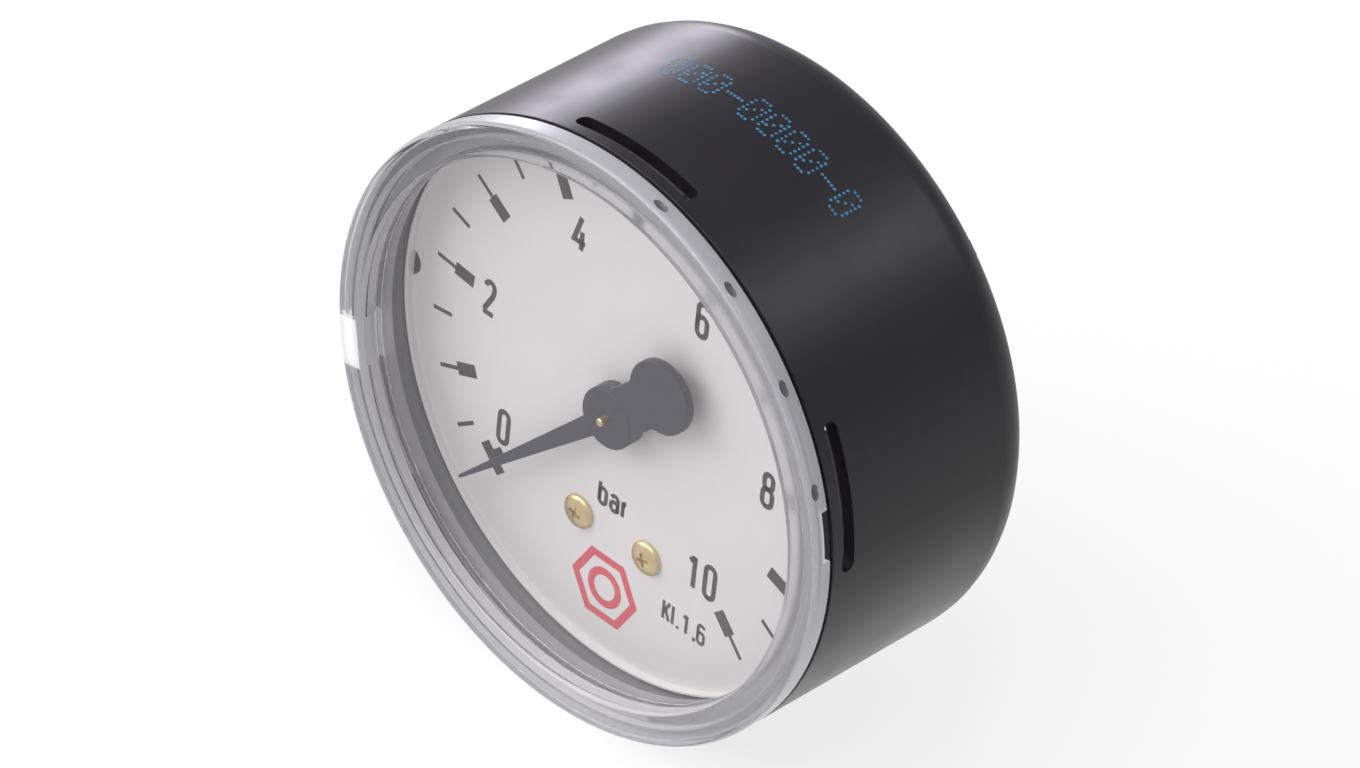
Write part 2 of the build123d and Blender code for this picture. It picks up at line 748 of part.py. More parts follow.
spring_start = collet_radius + running_gap + hairspring_strip / 2
spring_end = spring_start + hairspring_half_turns * hairspring_step
with BuildPart() as hairspring:
    spring_back = spring_middle + hairspring_width / 2
    with BuildSketch(facing_front(spring_back, 0, 0, hairspring_end_angle)):
        with BuildLine():
            for side in (-hairspring_strip / 2, hairspring_strip / 2):
                for i in range(hairspring_half_turns):
                    centre = hairspring_step * (i % 2)
                    CenterArc((centre, 0), spring_start + i * hairspring_step + side, 180 * i, 180)
            for radius in (spring_start, spring_end):
                Line((radius - hairspring_strip / 2, 0), (radius + hairspring_strip / 2, 0))
        make_face()
    extrude(amount=hairspring_width)
save(hairspring, "hairspring")

with BuildPart() as hairspring_stud:
    stud_reach = spring_end + hairspring_strip / 2 + running_gap + stud_radius
    stud_x = stud_reach * cos(radians(hairspring_end_angle))
    stud_z = stud_reach * sin(radians(hairspring_end_angle))
    with BuildSketch(facing_front(collet_back, stud_x, stud_z)):
        Circle(stud_radius)
    extrude(amount=collet_back - front_plate_back)
save(hairspring_stud, "hairspring_stud")

# ==== link ==========================================================================================
link_middle_x = (tail_x + tip_pin_x) / 2
link_middle_z = (tail_z + tip_pin_z) / 2
with BuildPart() as link:
    link_plane = Plane(origin=(link_middle_x, link_back, link_middle_z), x_dir=link_x_dir, z_dir=(0, -1, 0))
    with BuildSketch(link_plane):
        Rectangle(link_length, link_width)
        with Locations((-link_length / 2, 0), (link_length / 2, 0)):
            Circle(link_eye_radius)
        with Locations((-link_length / 2, 0)):
            Circle(pin_radius + running_gap, mode=Mode.SUBTRACT)
        with Locations((link_length / 2, 0)):
            Circle(pin_radius + press_gap, mode=Mode.SUBTRACT)
    extrude(amount=link_thickness)
save(link, "link")

lug_back = tube_middle - tube_height / 2 - tip_wall
with BuildPart() as link_pin:
    with BuildSketch(facing_front(lug_back + press_gap, tip_pin_x, tip_pin_z)):
        Circle(pin_radius)
    extrude(amount=lug_back + press_gap - link_front)
    with BuildSketch(facing_front(link_front, tip_pin_x, tip_pin_z)):
        Circle(pin_head_radius)
    extrude(amount=pin_head_height)
save(link_pin, "link_pin")

# ==== Bourdon tube and its tip ======================================================================
with BuildPart() as bourdon_tube:
    with BuildSketch(through_axis(tube_root_angle)):
        with Locations((tube_radius, tube_middle)):
            SlotOverall(tube_height, tube_width, rotation=90)
            SlotOverall(tube_height - 2 * tube_wall, tube_width - 2 * tube_wall, rotation=90,
                        mode=Mode.SUBTRACT)
    revolve(axis=Axis.Y, revolution_arc=tube_root_angle - tube_tip_angle)
save(bourdon_tube, "bourdon_tube")

with BuildPart() as tube_tip:
    tip_start_angle = tube_tip_angle + tip_overlap_angle
    with BuildSketch(through_axis(tip_start_angle)):
        with Locations((tube_radius, tube_middle)):
            Rectangle(tube_width + 2 * tip_wall, tube_height + 2 * tip_wall)
    revolve(axis=Axis.Y, revolution_arc=tip_overlap_angle + tip_cap_angle)
    fillet(tube_tip.edges().filter_by(GeomType.LINE).filter_by(Axis.Y), tip_wall / 2)
    with BuildSketch(through_axis(tip_start_angle)):
        with Locations((tube_radius, tube_middle)):
            SlotOverall(tube_height + 2 * running_gap, tube_width + 2 * running_gap, rotation=90)
    revolve(axis=Axis.Y, revolution_arc=tip_overlap_angle, mode=Mode.SUBTRACT)
    # lug in front of the cap, with the open pivot's eye
    cap_angle = tube_tip_angle - tip_cap_angle / 2
    cap_place = (tube_radius * cos(radians(cap_angle)), tube_radius * sin(radians(cap_angle)))
    with BuildSketch(facing_front(lug_back)):
        with Locations(cap_place):
            Circle(tip_eye_radius)
        with Locations((tip_pin_x, tip_pin_z)):
            Circle(tip_eye_radius)
        make_hull()
        with Locations((tip_pin_x, tip_pin_z)):
            Circle(pin_radius + open_pivot_gap, mode=Mode.SUBTRACT)
    extrude(amount=lug_back - lug_front)
save(tube_tip, "tube_tip")

# ==== pointer =======================================================================================
with BuildPart() as pointer:
    with BuildSketch(facing_front(blade_back, 0, 0, pointer_angle)):
        with BuildLine():
            Polyline(
                (0, -pointer_root_width / 2),
                (pointer_length - pointer_tip_width, -pointer_tip_width / 2),
                (pointer_length, 0),
                (pointer_length - pointer_tip_width, pointer_tip_width / 2),
                (0, pointer_root_width / 2),
                close=True,
            )
        make_face()
    extrude(amount=pointer_thickness)
    with BuildSketch(facing_front(blade_back, 0, 0, pointer_angle)):
        Circle(hub_radius)
        with Locations((-tail_disc_reach, 0)):
            Circle(tail_disc_radius)
        with Locations((-tail_disc_reach / 2, 0)):
            Rectangle(tail_disc_reach, neck_width)
    extrude(amount=tail_disc_thickness)
    fillet(pointer.edges().filter_by(Axis.Y).filter_by(
        lambda edge: hypot(edge.center().X, edge.center().Z) < tail_disc_reach
        and edge.length > pointer_thickness + fit_gap), neck_fillet)
    cylinder_between(hub_radius, hub_back, hub_front)
    cylinder_between(bush_radius + press_gap, hub_back, bush_front, Mode.SUBTRACT)
    cylinder_between(arbor_tip_radius + press_gap, bush_front, hub_front, Mode.SUBTRACT)
save(pointer, "pointer")

with BuildPart() as pointer_bush:
    cylinder_between(bush_radius, hub_back, bush_front)
    cylinder_between(arbor_tip_radius + press_gap, hub_back, bush_front, Mode.SUBTRACT)
save(pointer_bush, "pointer_bush")
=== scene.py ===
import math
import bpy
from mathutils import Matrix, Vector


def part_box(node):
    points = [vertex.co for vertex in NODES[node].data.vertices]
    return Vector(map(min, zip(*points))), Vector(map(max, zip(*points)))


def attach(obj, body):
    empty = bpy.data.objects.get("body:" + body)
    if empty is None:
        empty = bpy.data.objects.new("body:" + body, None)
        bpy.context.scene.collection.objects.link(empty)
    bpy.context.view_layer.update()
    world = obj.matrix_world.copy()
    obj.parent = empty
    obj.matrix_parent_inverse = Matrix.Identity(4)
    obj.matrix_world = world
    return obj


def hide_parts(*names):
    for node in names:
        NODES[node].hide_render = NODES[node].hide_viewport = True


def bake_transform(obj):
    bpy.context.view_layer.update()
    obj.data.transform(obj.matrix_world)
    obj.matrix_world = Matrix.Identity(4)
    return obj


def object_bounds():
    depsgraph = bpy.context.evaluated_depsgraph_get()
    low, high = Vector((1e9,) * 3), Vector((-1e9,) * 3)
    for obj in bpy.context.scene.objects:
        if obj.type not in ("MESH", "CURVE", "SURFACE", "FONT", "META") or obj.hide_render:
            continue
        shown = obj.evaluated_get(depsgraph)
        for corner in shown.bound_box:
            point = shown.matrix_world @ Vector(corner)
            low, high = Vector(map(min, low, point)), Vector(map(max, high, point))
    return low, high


bl_info = {
    "name": "Bourdon tube pressure gauge",
    "version": (1, 0, 0),
    "blender": (4, 5, 0),
    "location": "3D View > Sidebar > Gauge",
    "description": "Builds the looks of a round pressure gauge with a back connection round its CAD frame",
    "category": "Add Mesh",
}

import bmesh
import bpy
from mathutils import Matrix, Vector

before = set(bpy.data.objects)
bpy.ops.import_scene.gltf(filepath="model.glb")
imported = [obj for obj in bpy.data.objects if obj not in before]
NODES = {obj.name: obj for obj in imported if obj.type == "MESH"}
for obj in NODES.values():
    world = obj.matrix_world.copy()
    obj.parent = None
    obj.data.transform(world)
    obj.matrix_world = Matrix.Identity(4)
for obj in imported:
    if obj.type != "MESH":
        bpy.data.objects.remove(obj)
CAD_BOX = [list(corner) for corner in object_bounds()]

# All lengths are in metres and all angles on the dial in degrees, counter-clockwise from +X as the
# reader sees them. The gauge's axis is Y, and the reader looks along +Y.
MM = 0.001
PLAY = 1e-7  # lengths below it count as nothing
MERGE = 2e-7  # points nearer than this become one
SOFT_EDGE = 0.06 * MM  # half the width over which one zone of the window turns into the next
CASE_LOW, CASE_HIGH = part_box("case")
WINDOW_LOW, WINDOW_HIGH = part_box("window")
DIAL_LOW, DIAL_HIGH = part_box("dial")
POINTER_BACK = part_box("pointer")[1].y
STEM_LOW, STEM_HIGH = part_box("stem")
TUBE_LOW, TUBE_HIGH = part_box("bourdon_tube")
SCREWS_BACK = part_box("dial_screws")[1].y


# ---- sizes and colours that a user would change -------------------------------------------------------
def length(name, description, default):
    return bpy.props.FloatProperty(
        name=name, description=description, default=default, min=0.0, unit="LENGTH", precision=5
    )


def number(name, description, default, **limits):
    return bpy.props.FloatProperty(name=name, description=description, default=default, **limits)


def whole_number(name, description, default):
    return bpy.props.IntProperty(name=name, description=description, default=default, min=1)


def colour(name, description, default):
    return bpy.props.StringProperty(name=name, description=description, default=default)


class GaugeCaseSettings(bpy.types.PropertyGroup):
    """Sizes of the case, its slots and its print."""

    wall: length("Wall", "Thickness of the case's wall", 1.9 * MM)
    floor: length("Floor", "Thickness of the case's floor", 2.2 * MM)
    rear_radius: length("Rear edge radius", "Rounding of the edge at the back", 4.6 * MM)
    inner_radius: length("Inner radius", "Rounding between floor and wall inside", 1.5 * MM)
    edge_radius: length("Front edge radius", "Rounding of the front edge", 0.25 * MM)
    joint_width: length("Joint width", "Width of the shadow joint behind the window", 0.4 * MM)
    joint_depth: length("Joint depth", "Depth of the shadow joint behind the window", 0.3 * MM)
    seat_step: length("Seat step", "How far the window's seat is let into the wall", 0.3 * MM)
    seat_depth: length("Seat depth", "Depth of the window's seat", 3.4 * MM)
    slot_width: length("Slot width", "Width of a snap slot", 1.6 * MM)
    slot_depth: length("Slot depth", "From the front edge to a slot's middle", 2.35 * MM)
    slot_arc: number("Slot arc", "Arc of a snap slot, in degrees", 28.0, min=1.0)
    slot_first: number("First slot", "Place of the first snap slot, in degrees", 89.0)
    slot_count: whole_number("Slots", "Number of snap slots", 5)
    stem_hole: length("Stem hole", "Radius of the hole for the stem", 7.4 * MM)
    dot: length("Print dot", "Radius of a dot of the ink-jet print", 0.19 * MM)
    dot_pitch: length("Print pitch", "Distance between dots of the print", 0.5 * MM)
    print_first: number("Print start", "Place of the print's first sign, in degrees", 105.4)
    print_step: number("Print step", "Angle from one sign to the next, in degrees", 4.65)
    print_depth: length("Print depth", "From the case's back to the print's middle", 12.6 * MM)
    plastic: colour("Plastic", "Colour of the moulded case, sRGB", "#19161c")
    ink: colour("Ink", "Colour of the ink-jet print, sRGB", "#397ba3")


class GaugeWindowSettings(bpy.types.PropertyGroup):
    """Sizes of the clear window."""

    pane: length("Pane", "Thickness of the pane", 2.0 * MM)
    inset: length("Inset", "How far the ring stands in front of the pane", 1.6 * MM)
    rim: length("Rim", "Width of the ring in front of the pane", 3.5 * MM)
    lip: length("Lip", "Width of the part of the ring that stands on the case", 0.6 * MM)
    groove: length("Groove", "Depth of the groove behind the ring", 1.25 * MM)
    rim_radius: length("Rim radius", "Rounding of the ring's edges", 0.45 * MM)
    skirt_wall: length("Skirt wall", "Thickness of the skirt in the case", 1.5 * MM)
    skirt_length: length("Skirt", "Length of the skirt behind the pane", 1.8 * MM)
    play: length("Play", "Radial play of the skirt in its seat", 0.1 * MM)
    bead_height: length("Bead height", "Height of a snap bead", 1.1 * MM)
    bead_width: length("Bead width", "Width of a snap bead", 1.2 * MM)
    bead_arc: number("Bead arc", "Arc of a snap bead, in degrees", 24.0)
    notch_width: length("Notch width", "Width of a notch behind the ring", 5.4 * MM)
    notch_depth: length("Notch depth", "Depth of a notch behind the ring", 0.7 * MM)
    pit_depth: length("Pit place", "From the ring's back to the middle of a pit in its wall", 1.15 * MM)
    pit_count: whole_number("Pits", "Number of pits", 4)
    pit_first: number("First pit", "Place of the first pit, in degrees", 76.8)
    pit_step: number("Pit step", "Angle from one pit to the next, in degrees", -18.6)
    notch_angle: number("Notch angle", "Place of the first notch, in degrees", 12.0)


class GaugeDialSettings(bpy.types.PropertyGroup):
    """Sizes of the dial, its print and its screws."""

    hole: length("Hole", "Radius of the hole for the pointer's shaft", 2.0 * MM)
    screw_hole: length("Screw hole", "Radius of a screw's hole", 0.9 * MM)
    screw_x: length("Screw X", "Sideways place of the screws", 4.55 * MM)
    screw_drop: length("Screw drop", "How far the screws are below the shaft", 15.1 * MM)
    screw_head: length("Screw head", "Radius of a screw's head", 1.8 * MM)
    screw_height: length("Screw height", "Height of a screw's head", 0.75 * MM)
    thickness: length("Thickness", "Thickness of the dial", 0.8 * MM)
    rim_width: length("Rim width", "Width of the raised rim", 0.35 * MM)
    rim_height: length("Rim height", "Height of the raised rim", 0.75 * MM)
    key: length("Key", "Radius of the case's key at the dial's edge", 1.3 * MM)
    key_play: length("Key play", "Play of the key in the dial's notch", 0.3 * MM)
    edge: length("Edge", "Rounding of the dial's edges", 0.06 * MM)
    ink: length("Ink", "Height of the print over the lacquer", 0.012 * MM)
    zero: number("Zero", "Angle at which the scale starts, in degrees", 228.9)
    step: number("Step", "Angle from one bar to the next, in degrees", 27.66)
    stop_mark: number("Stop mark", "Angle of the mark under the resting pointer", 224.3)
    line_inner: length("Line start", "Inner radius of the scale's lines", 23.55 * MM)
    line_outer: length("Line end", "Outer radius of the scale's lines", 26.06 * MM)
    line_width: length("Line width", "Width of a scale line", 0.45 * MM)
    block_inner: length("Block start", "Inner radius of a bar's block", 21.0 * MM)
    block_width: length("Block width", "Width of a bar's block", 1.45 * MM)
    digit_height: length("Digit height", "Height of the numbers", 4.2 * MM)
    digit_width: length("Digit width", "Width of a digit", 1.8 * MM)
    digit_stroke: length("Digit stroke", "Width of a digit's stroke", 0.58 * MM)
    lacquer: colour("Lacquer", "Colour of the dial, sRGB", "#dedad9")
    print: colour("Print", "Colour of the scale, sRGB", "#352e2e")
    sign: colour("Sign", "Colour of the sign below the screws, sRGB", "#d4404f")


class GaugePointerSettings(bpy.types.PropertyGroup):
    """Sizes of the pointer."""

    angle: number("Angle", "Angle of the pointer at rest, in degrees", 225.0)
    reach: length("Reach", "Length from the shaft to the tip", 26.3 * MM)
    root: length("Root", "Width of the blade at the shaft", 2.5 * MM)
    tip: length("Tip", "Width of the blade at the tip", 0.35 * MM)
    blade: length("Blade", "Thickness of the blade", 0.5 * MM)
    hub: length("Hub", "Radius of the hub", 3.2 * MM)
    hub_height: length("Hub height", "Height of the hub", 2.0 * MM)
    hub_back: length("Hub back", "How far the hub stands behind the blade", 1.0 * MM)
    bore: length("Bore", "Radius of the hole for the shaft's end", 0.44 * MM)
    neck: length("Neck", "Width of the neck to the counterweight", 4.9 * MM)
    fillet: length("Fillet", "Rounding at the neck's ends", 1.2 * MM)
    disc: length("Disc", "Radius of the counterweight", 3.8 * MM)
    disc_reach: length("Disc reach", "From the shaft to the counterweight's middle", 8.7 * MM)
    tail: length("Tail", "Thickness of neck and counterweight", 0.9 * MM)
    plastic: colour("Plastic", "Colour of the pointer, sRGB", "#2a2839")


class GaugeStemSettings(bpy.types.PropertyGroup):
    """Sizes of the process connection."""

    thread_radius: length("Thread radius", "Outer radius of the thread, G 1/4", 6.5785 * MM)
    pitch: length("Pitch", "Pitch of the thread", 1.337 * MM)
    depth: length("Depth", "Depth of the thread", 0.856 * MM)
    relief: length("Relief", "Width of the groove at the shoulder", 2.1 * MM)
    thread_length: length("Thread length", "Length of the thread", 11.0 * MM)
    pilot: length("Pilot", "Radius of the spigot at the end", 2.5 * MM)
    inlet: length("Inlet", "Radius of the bore", 1.75 * MM)
    inlet_depth: length("Inlet depth", "Depth of the bore", 9.0 * MM)
    square: length("Square", "Width across the wrench flats", 14.0 * MM)
    square_length: length("Square length", "Length of the wrench flats", 7.0 * MM)
    turned: length("Turned", "Radius of the turned corners", 9.1 * MM)
    spigot: length("Spigot", "Radius of the part in the case's hole", 7.3 * MM)
    flange: length("Flange", "Radius of the flange in the case", 14.5 * MM)
    flange_depth: length("Flange depth", "Thickness of the flange", 3.0 * MM)
    block_width: length("Block width", "Width of the block", 13.0 * MM)
    screw_circle: length("Screw circle", "Radius of the case screws' circle", 11.5 * MM)
    screw_head: length("Screw head", "Radius of a case screw's head", 2.9 * MM)
    screw_count: whole_number("Case screws", "Number of screws through the case", 3)


class GaugeStageSettings(bpy.types.PropertyGroup):
    """The view and the studio."""

    azimuth: number("Azimuth", "Bearing of the camera, in degrees", 41.2)
    elevation: number("Elevation", "Height of the camera over the horizon, in degrees", 37.3)
    roll: number("Roll", "Turn of the camera, in degrees", 6.3)
    distance: length("Distance", "From the camera to the dial", 0.8)
    lens: number("Lens", "Focal length in mm", 226.4)
    shift_right: length("Shift right", "Sideways place of the camera", 4.96 * MM)
    shift_up: length("Shift up", "Upward place of the camera", 2.23 * MM)
    floor: colour("Floor", "Colour of the floor, sRGB", "#f2f2f2")


SETTINGS = {
    "gauge_case": GaugeCaseSettings,
    "gauge_window": GaugeWindowSettings,
    "gauge_dial": GaugeDialSettings,
    "gauge_pointer": GaugePointerSettings,
    "gauge_stem": GaugeStemSettings,
    "gauge_stage": GaugeStageSettings,
}


# ---- small helpers for nodes --------------------------------------------------------------------------
def add(tree, kind, inputs=None, **settings):
    """Add a node. An input is given a value, another node's output, or a node for its first output."""
    made = tree.nodes.new(kind)
    for key, value in settings.items():
        setattr(made, key, value)
    for key, value in (inputs or {}).items():
        value = value.outputs[0] if isinstance(value, bpy.types.Node) else value
        if isinstance(value, bpy.types.NodeSocket):
            tree.links.new(value, made.inputs[key])
        else:
            made.inputs[key].default_value = value
    return made


def linear(hex_colour):
    """A #rrggbb colour as linear RGBA."""
    channels = [int(hex_colour[i : i + 2], 16) / 255 for i in (1, 3, 5)]
    return tuple(c / 12.92 if c <= 0.04045 else ((c + 0.055) / 1.055) ** 2.4 for c in channels) + (1.0,)


def shades(hex_colour, *shares):
    """A colour made lighter or darker by each share, as linear RGBA."""
    return [tuple(min(1.0, c * share) for c in linear(hex_colour)[:3]) + (1.0,) for share in shares]


def new_material(name):
    """A material by its name, with an empty tree where it is new."""
    material = bpy.data.materials.get(name)
    if material is None:
        material = bpy.data.materials.new(name)
        material.use_nodes = True
        material.node_tree.nodes.clear()
    return material


# ---- small helpers for meshes -------------------------------------------------------------------------
def polar(radius, angle, y):
    turn = math.radians(angle)
    return (radius * math.cos(turn), y, radius * math.sin(turn))


def arc(cx, cy, rx, ry, start, end, count):
    """Points on an arc in a plane, from one angle to another in degrees."""
    turns = [math.radians(start + (end - start) * i / count) for i in range(count + 1)]
    return [(cx + rx * math.cos(t), cy + ry * math.sin(t)) for t in turns]


def rounded(corners, steps=5, support=0.06 * MM):
    """A profile whose corners (x, y, radius) are arcs, with a support point on each side of an arc."""
    points = []
    for i, (x, y, radius) in enumerate(corners):
        here = Vector((x, y))
        before = Vector(corners[i - 1][:2]) - here
        after = Vector(corners[(i + 1) % len(corners)][:2]) - here
        if not radius or before.length < PLAY or after.length < PLAY:
            points.append((x, y))
            continue
        before.normalize()
        after.normalize()
        half = before.angle(after) / 2
        run = radius / math.tan(half)
        centre = here + (before + after).normalized() * (radius / math.sin(half))
        first, last = here + before * run, here + after * run
        points.append(tuple(first + before * support))
        a, b = first - centre, last - centre
        sweep = b.angle_signed(a)
        for k in range(steps + 1):
            turn = Matrix.Rotation(sweep * k / steps, 2)
            points.append(tuple(centre + turn @ a))
        points.append(tuple(last + after * support))
    return points


def turned(stations, profile_at, closed):
    """Points and faces of a shape turned round the axis, whose profile may change with the angle."""
    points, faces = [], []
    for angle in stations:
        points += [polar(radius, angle, y) for radius, y in profile_at(angle)]
    count = len(points) // len(stations)
    for i in range(len(stations)):
        j = (i + 1) % len(stations)
        for k in range(count if closed else count - 1):
            m = (k + 1) % count
            faces.append((i * count + k, i * count + m, j * count + m, j * count + k))
    return points, faces


def lathe(name, profile, steps, closed=False):
    """A solid turned round the axis in even steps from one profile."""
    stations = [360 / steps * i for i in range(steps)]
    return solid(name, *turned(stations, lambda angle: profile, closed))


def new_object(name, mesh):
    made = bpy.data.objects.new(name, mesh)
    bpy.context.scene.collection.objects.link(made)
    return made


def solid(name, points, faces):
    """A closed mesh object from points and faces, with its doubles merged and its faces outwards."""
    mesh = bpy.data.meshes.new(name)
    mesh.from_pydata([tuple(p) for p in points], [], faces)
    made = new_object(name, mesh)
    tidy_mesh(made)
    return made


def tidy_mesh(made):
    work = bmesh.new()
    work.from_mesh(made.data)
    bmesh.ops.remove_doubles(work, verts=work.verts, dist=MERGE)
    bmesh.ops.dissolve_degenerate(work, edges=work.edges, dist=MERGE)
    loose = [v for v in work.verts if not v.link_faces]
    bmesh.ops.delete(work, geom=loose, context="VERTS")
    bmesh.ops.recalc_face_normals(work, faces=work.faces)
    work.to_mesh(made.data)
    work.free()


def settle(made):
    """The evaluated object as a plain mesh, without modifiers."""
    graph = bpy.context.evaluated_depsgraph_get()
    mesh = bpy.data.meshes.new_from_object(made.evaluated_get(graph))
    old = made.data
    made.modifiers.clear()
    if made.type == "MESH":
        made.data = mesh
        return made
    name = made.name
    bpy.data.objects.remove(made)
    bpy.data.curves.remove(old)
    return new_object(name, mesh)


def combine(made, others, operation):
    """Cut pieces out of a solid or melt them into it."""
    for other in others:
        change = made.modifiers.new("combine", "BOOLEAN")
        change.operation = operation
        change.solver = "EXACT"
        change.object = other
    settle(made)
    for other in others:
        bpy.data.objects.remove(other)
    tidy_mesh(made)
    return made


def plate(name, outlines, back, front, edge=0.0, place=None):
    """A flat plate with bevelled edges between two depths. The outlines after the first are holes."""
    curve = bpy.data.curves.new(name, "CURVE")
    curve.dimensions = "2D"
    curve.fill_mode = "BOTH"
    curve.extrude = (back - front) / 2 - edge
    curve.bevel_depth = edge
    curve.offset = -edge
    curve.bevel_resolution = 1
    for outline in outlines:
        line = curve.splines.new("POLY")
        line.points.add(len(outline) - 1)
        line.points.foreach_set("co", [c for x, y in outline for c in (x, y, 0.0, 1.0)])
        line.use_cyclic_u = True
    made = settle(new_object(name, curve))
    upright = Matrix.Rotation(math.radians(90), 4, "X")
    middle = Matrix.Translation((0, (back + front) / 2, 0))
    made.data.transform(middle @ upright @ (place or Matrix.Identity(4)))
    tidy_mesh(made)
    return made


def dial_face(dial):
    """Where the dial's face is along the axis, behind its raised rim."""
    return DIAL_LOW.y + dial.rim_height


def apart(angle, place):
    """How far an angle is from another, in degrees."""
    return abs((angle - place + 180) % 360 - 180)


def circle(cx, cy, radius, count=48):
    return arc(cx, cy, radius, radius, 0, 360, count)[:-1]


def lay_faces(flats, front, back):
    """Flat polygons, given as the reader sees them, as thin solids between two depths."""
    points, faces = [], []
    for flat in flats:
        first, count = len(points), len(flat)
        points += [(x, front, z) for x, z in flat] + [(x, back, z) for x, z in flat]
        faces.append(tuple(range(first, first + count)))
        faces.append(tuple(range(first + 2 * count - 1, first + count - 1, -1)))
        for i in range(count):
            j = (i + 1) % count
            faces.append((first + j, first + i, first + count + i, first + count + j))
    return points, faces


def finish_piece(made, name, material, body, replaces=(), sharp=32, flat=False):
    """Name a piece, give it its material and shading, and say what it rides on and stands for."""
    made.name = made.data.name = name
    made.data.materials.clear()
    made.data.materials.append(material)
    made.data.shade_smooth()
    made.data.set_sharp_from_angle(angle=math.radians(sharp))
    if flat:
        # faces square to the axis stay flat right up to their bevels
        for face in made.data.polygons:
            face.use_smooth = abs(face.normal.y) < 0.9999
    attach(made, body)
    if replaces:
        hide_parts(*replaces)
    return made


# ---- Geometry Nodes: pieces repeated round the axis ---------------------------------------------------
def new_tree(name, inputs):
    """A tree with a geometry output and inputs (name, kind, settings), and the outputs of its input node."""
    tree = bpy.data.node_groups.new(name, "GeometryNodeTree")
    tree.interface.new_socket("Geometry", in_out="OUTPUT", socket_type="NodeSocketGeometry")
    for title, kind, settings in inputs:
        made = tree.interface.new_socket(title, in_out="INPUT", socket_type="NodeSocket" + kind)
        for key, value in settings.items():
            setattr(made, key, value)
    return tree, add(tree, "NodeGroupInput").outputs


def copy_round(tree, given, piece, turn, inputs):
    """End a tree with copies of a piece that are turned round the axis, made real and given a material."""
    back_turn = add(tree, "ShaderNodeMath", {0: turn, 1: -1.0}, operation="MULTIPLY")
    euler = add(tree, "ShaderNodeCombineXYZ", {"Y": back_turn})
    rotation = add(tree, "FunctionNodeEulerToRotation", {0: euler})
    shape = add(tree, "GeometryNodeObjectInfo", {"Object": piece}).outputs["Geometry"]
    inputs = {"Instance": shape, "Rotation": rotation, **inputs}
    real = add(tree, "GeometryNodeRealizeInstances", {0: add(tree, "GeometryNodeInstanceOnPoints", inputs)})
    finished = add(tree, "GeometryNodeSetMaterial", {"Geometry": real, "Material": given["Material"]})
    add(tree, "NodeGroupOutput", {0: finished})
    return tree


def tree_round_axis():
    """Copies of a piece on a circle round the axis, each turned with its place."""
    tree = bpy.data.node_groups.get("Round the axis")
    if tree:
        return tree
    inputs = (
        ("Piece", "Object", {}),
        ("Count", "Int", {"default_value": 1, "min_value": 1}),
        ("First Angle", "Float", {"subtype": "ANGLE"}),
        ("Step", "Float", {"subtype": "ANGLE"}),
        ("Radius", "Float", {"subtype": "DISTANCE"}),
        ("Depth", "Float", {"subtype": "DISTANCE"}),
        ("Material", "Material", {}),
    )
    tree, given = new_tree("Round the axis", inputs)
    index = add(tree, "GeometryNodeInputIndex")
    steps = {0: index, 1: given["Step"], 2: given["First Angle"]}
    turn = add(tree, "ShaderNodeMath", steps, operation="MULTIPLY_ADD")
    cos = add(tree, "ShaderNodeMath", {0: turn}, operation="COSINE")
    sin = add(tree, "ShaderNodeMath", {0: turn}, operation="SINE")
    x = add(tree, "ShaderNodeMath", {0: cos, 1: given["Radius"]}, operation="MULTIPLY")
    z = add(tree, "ShaderNodeMath", {0: sin, 1: given["Radius"]}, operation="MULTIPLY")
    place = add(tree, "ShaderNodeCombineXYZ", {"X": x, "Y": given["Depth"], "Z": z})
    points = add(tree, "GeometryNodePoints", {"Count": given["Count"], "Position": place})
    return copy_round(tree, given, given["Piece"], turn, {"Points": points})


def tree_dots():
    """A copy of a dot on each point of a mesh, turned to face away from the axis."""
    tree = bpy.data.node_groups.get("Dots round the case")
    if tree:
        return tree
    inputs = (
        ("Geometry", "Geometry", {}),
        ("Dot", "Object", {}),
        ("Size Spread", "Float", {"default_value": 0.15}),
        ("Seed", "Int", {"default_value": 5}),
        ("Material", "Material", {}),
    )
    tree, given = new_tree("Dots round the case", inputs)
    position = add(tree, "GeometryNodeInputPosition")
    parts = add(tree, "ShaderNodeSeparateXYZ", {0: position}).outputs
    turn = add(tree, "ShaderNodeMath", {0: parts["Z"], 1: parts["X"]}, operation="ARCTAN2")
    least = add(tree, "ShaderNodeMath", {0: 1.0, 1: given["Size Spread"]}, operation="SUBTRACT")
    sizes = {"Max": 1.0, "Min": least, "Seed": given["Seed"]}
    size = add(tree, "FunctionNodeRandomValue", sizes, data_type="FLOAT").outputs[1]
    return copy_round(tree, given, given["Dot"], turn, {"Points": given["Geometry"], "Scale": size})


def run_tree(name, tree, points, inputs):
    """A plain mesh object from a tree, with its inputs set by their sockets' identifiers."""
    mesh = bpy.data.meshes.new(name)
    mesh.from_pydata(points or [(0, 0, 0)], [], [])
    made = new_object(name, mesh)
    change = made.modifiers.new("nodes", "NODES")
    change.node_group = tree
    for item in tree.interface.items_tree:
        if item.item_type == "SOCKET" and item.in_out == "INPUT" and item.name in inputs:
            change[item.identifier] = inputs[item.name]
    made.update_tag()
    return settle(made)


def round_axis(name, piece, count, first, step, radius, depth, material):
    """Copies of a piece on a circle; the first angle and the step are in degrees."""
    first, step = math.radians(first), math.radians(step)
    inputs = {"Piece": piece, "Count": count, "First Angle": first, "Step": step}
    inputs |= {"Radius": radius, "Depth": depth, "Material": material}
    made = run_tree(name, tree_round_axis(), None, inputs)
    bpy.data.objects.remove(piece)
    return made


# ---- materials ----------------------------------------------------------------------------------------
MIX_SOCKETS = {"FLOAT": (2, 3, 0), "RGBA": (6, 7, 2)}  # a Mix node's two values and its result


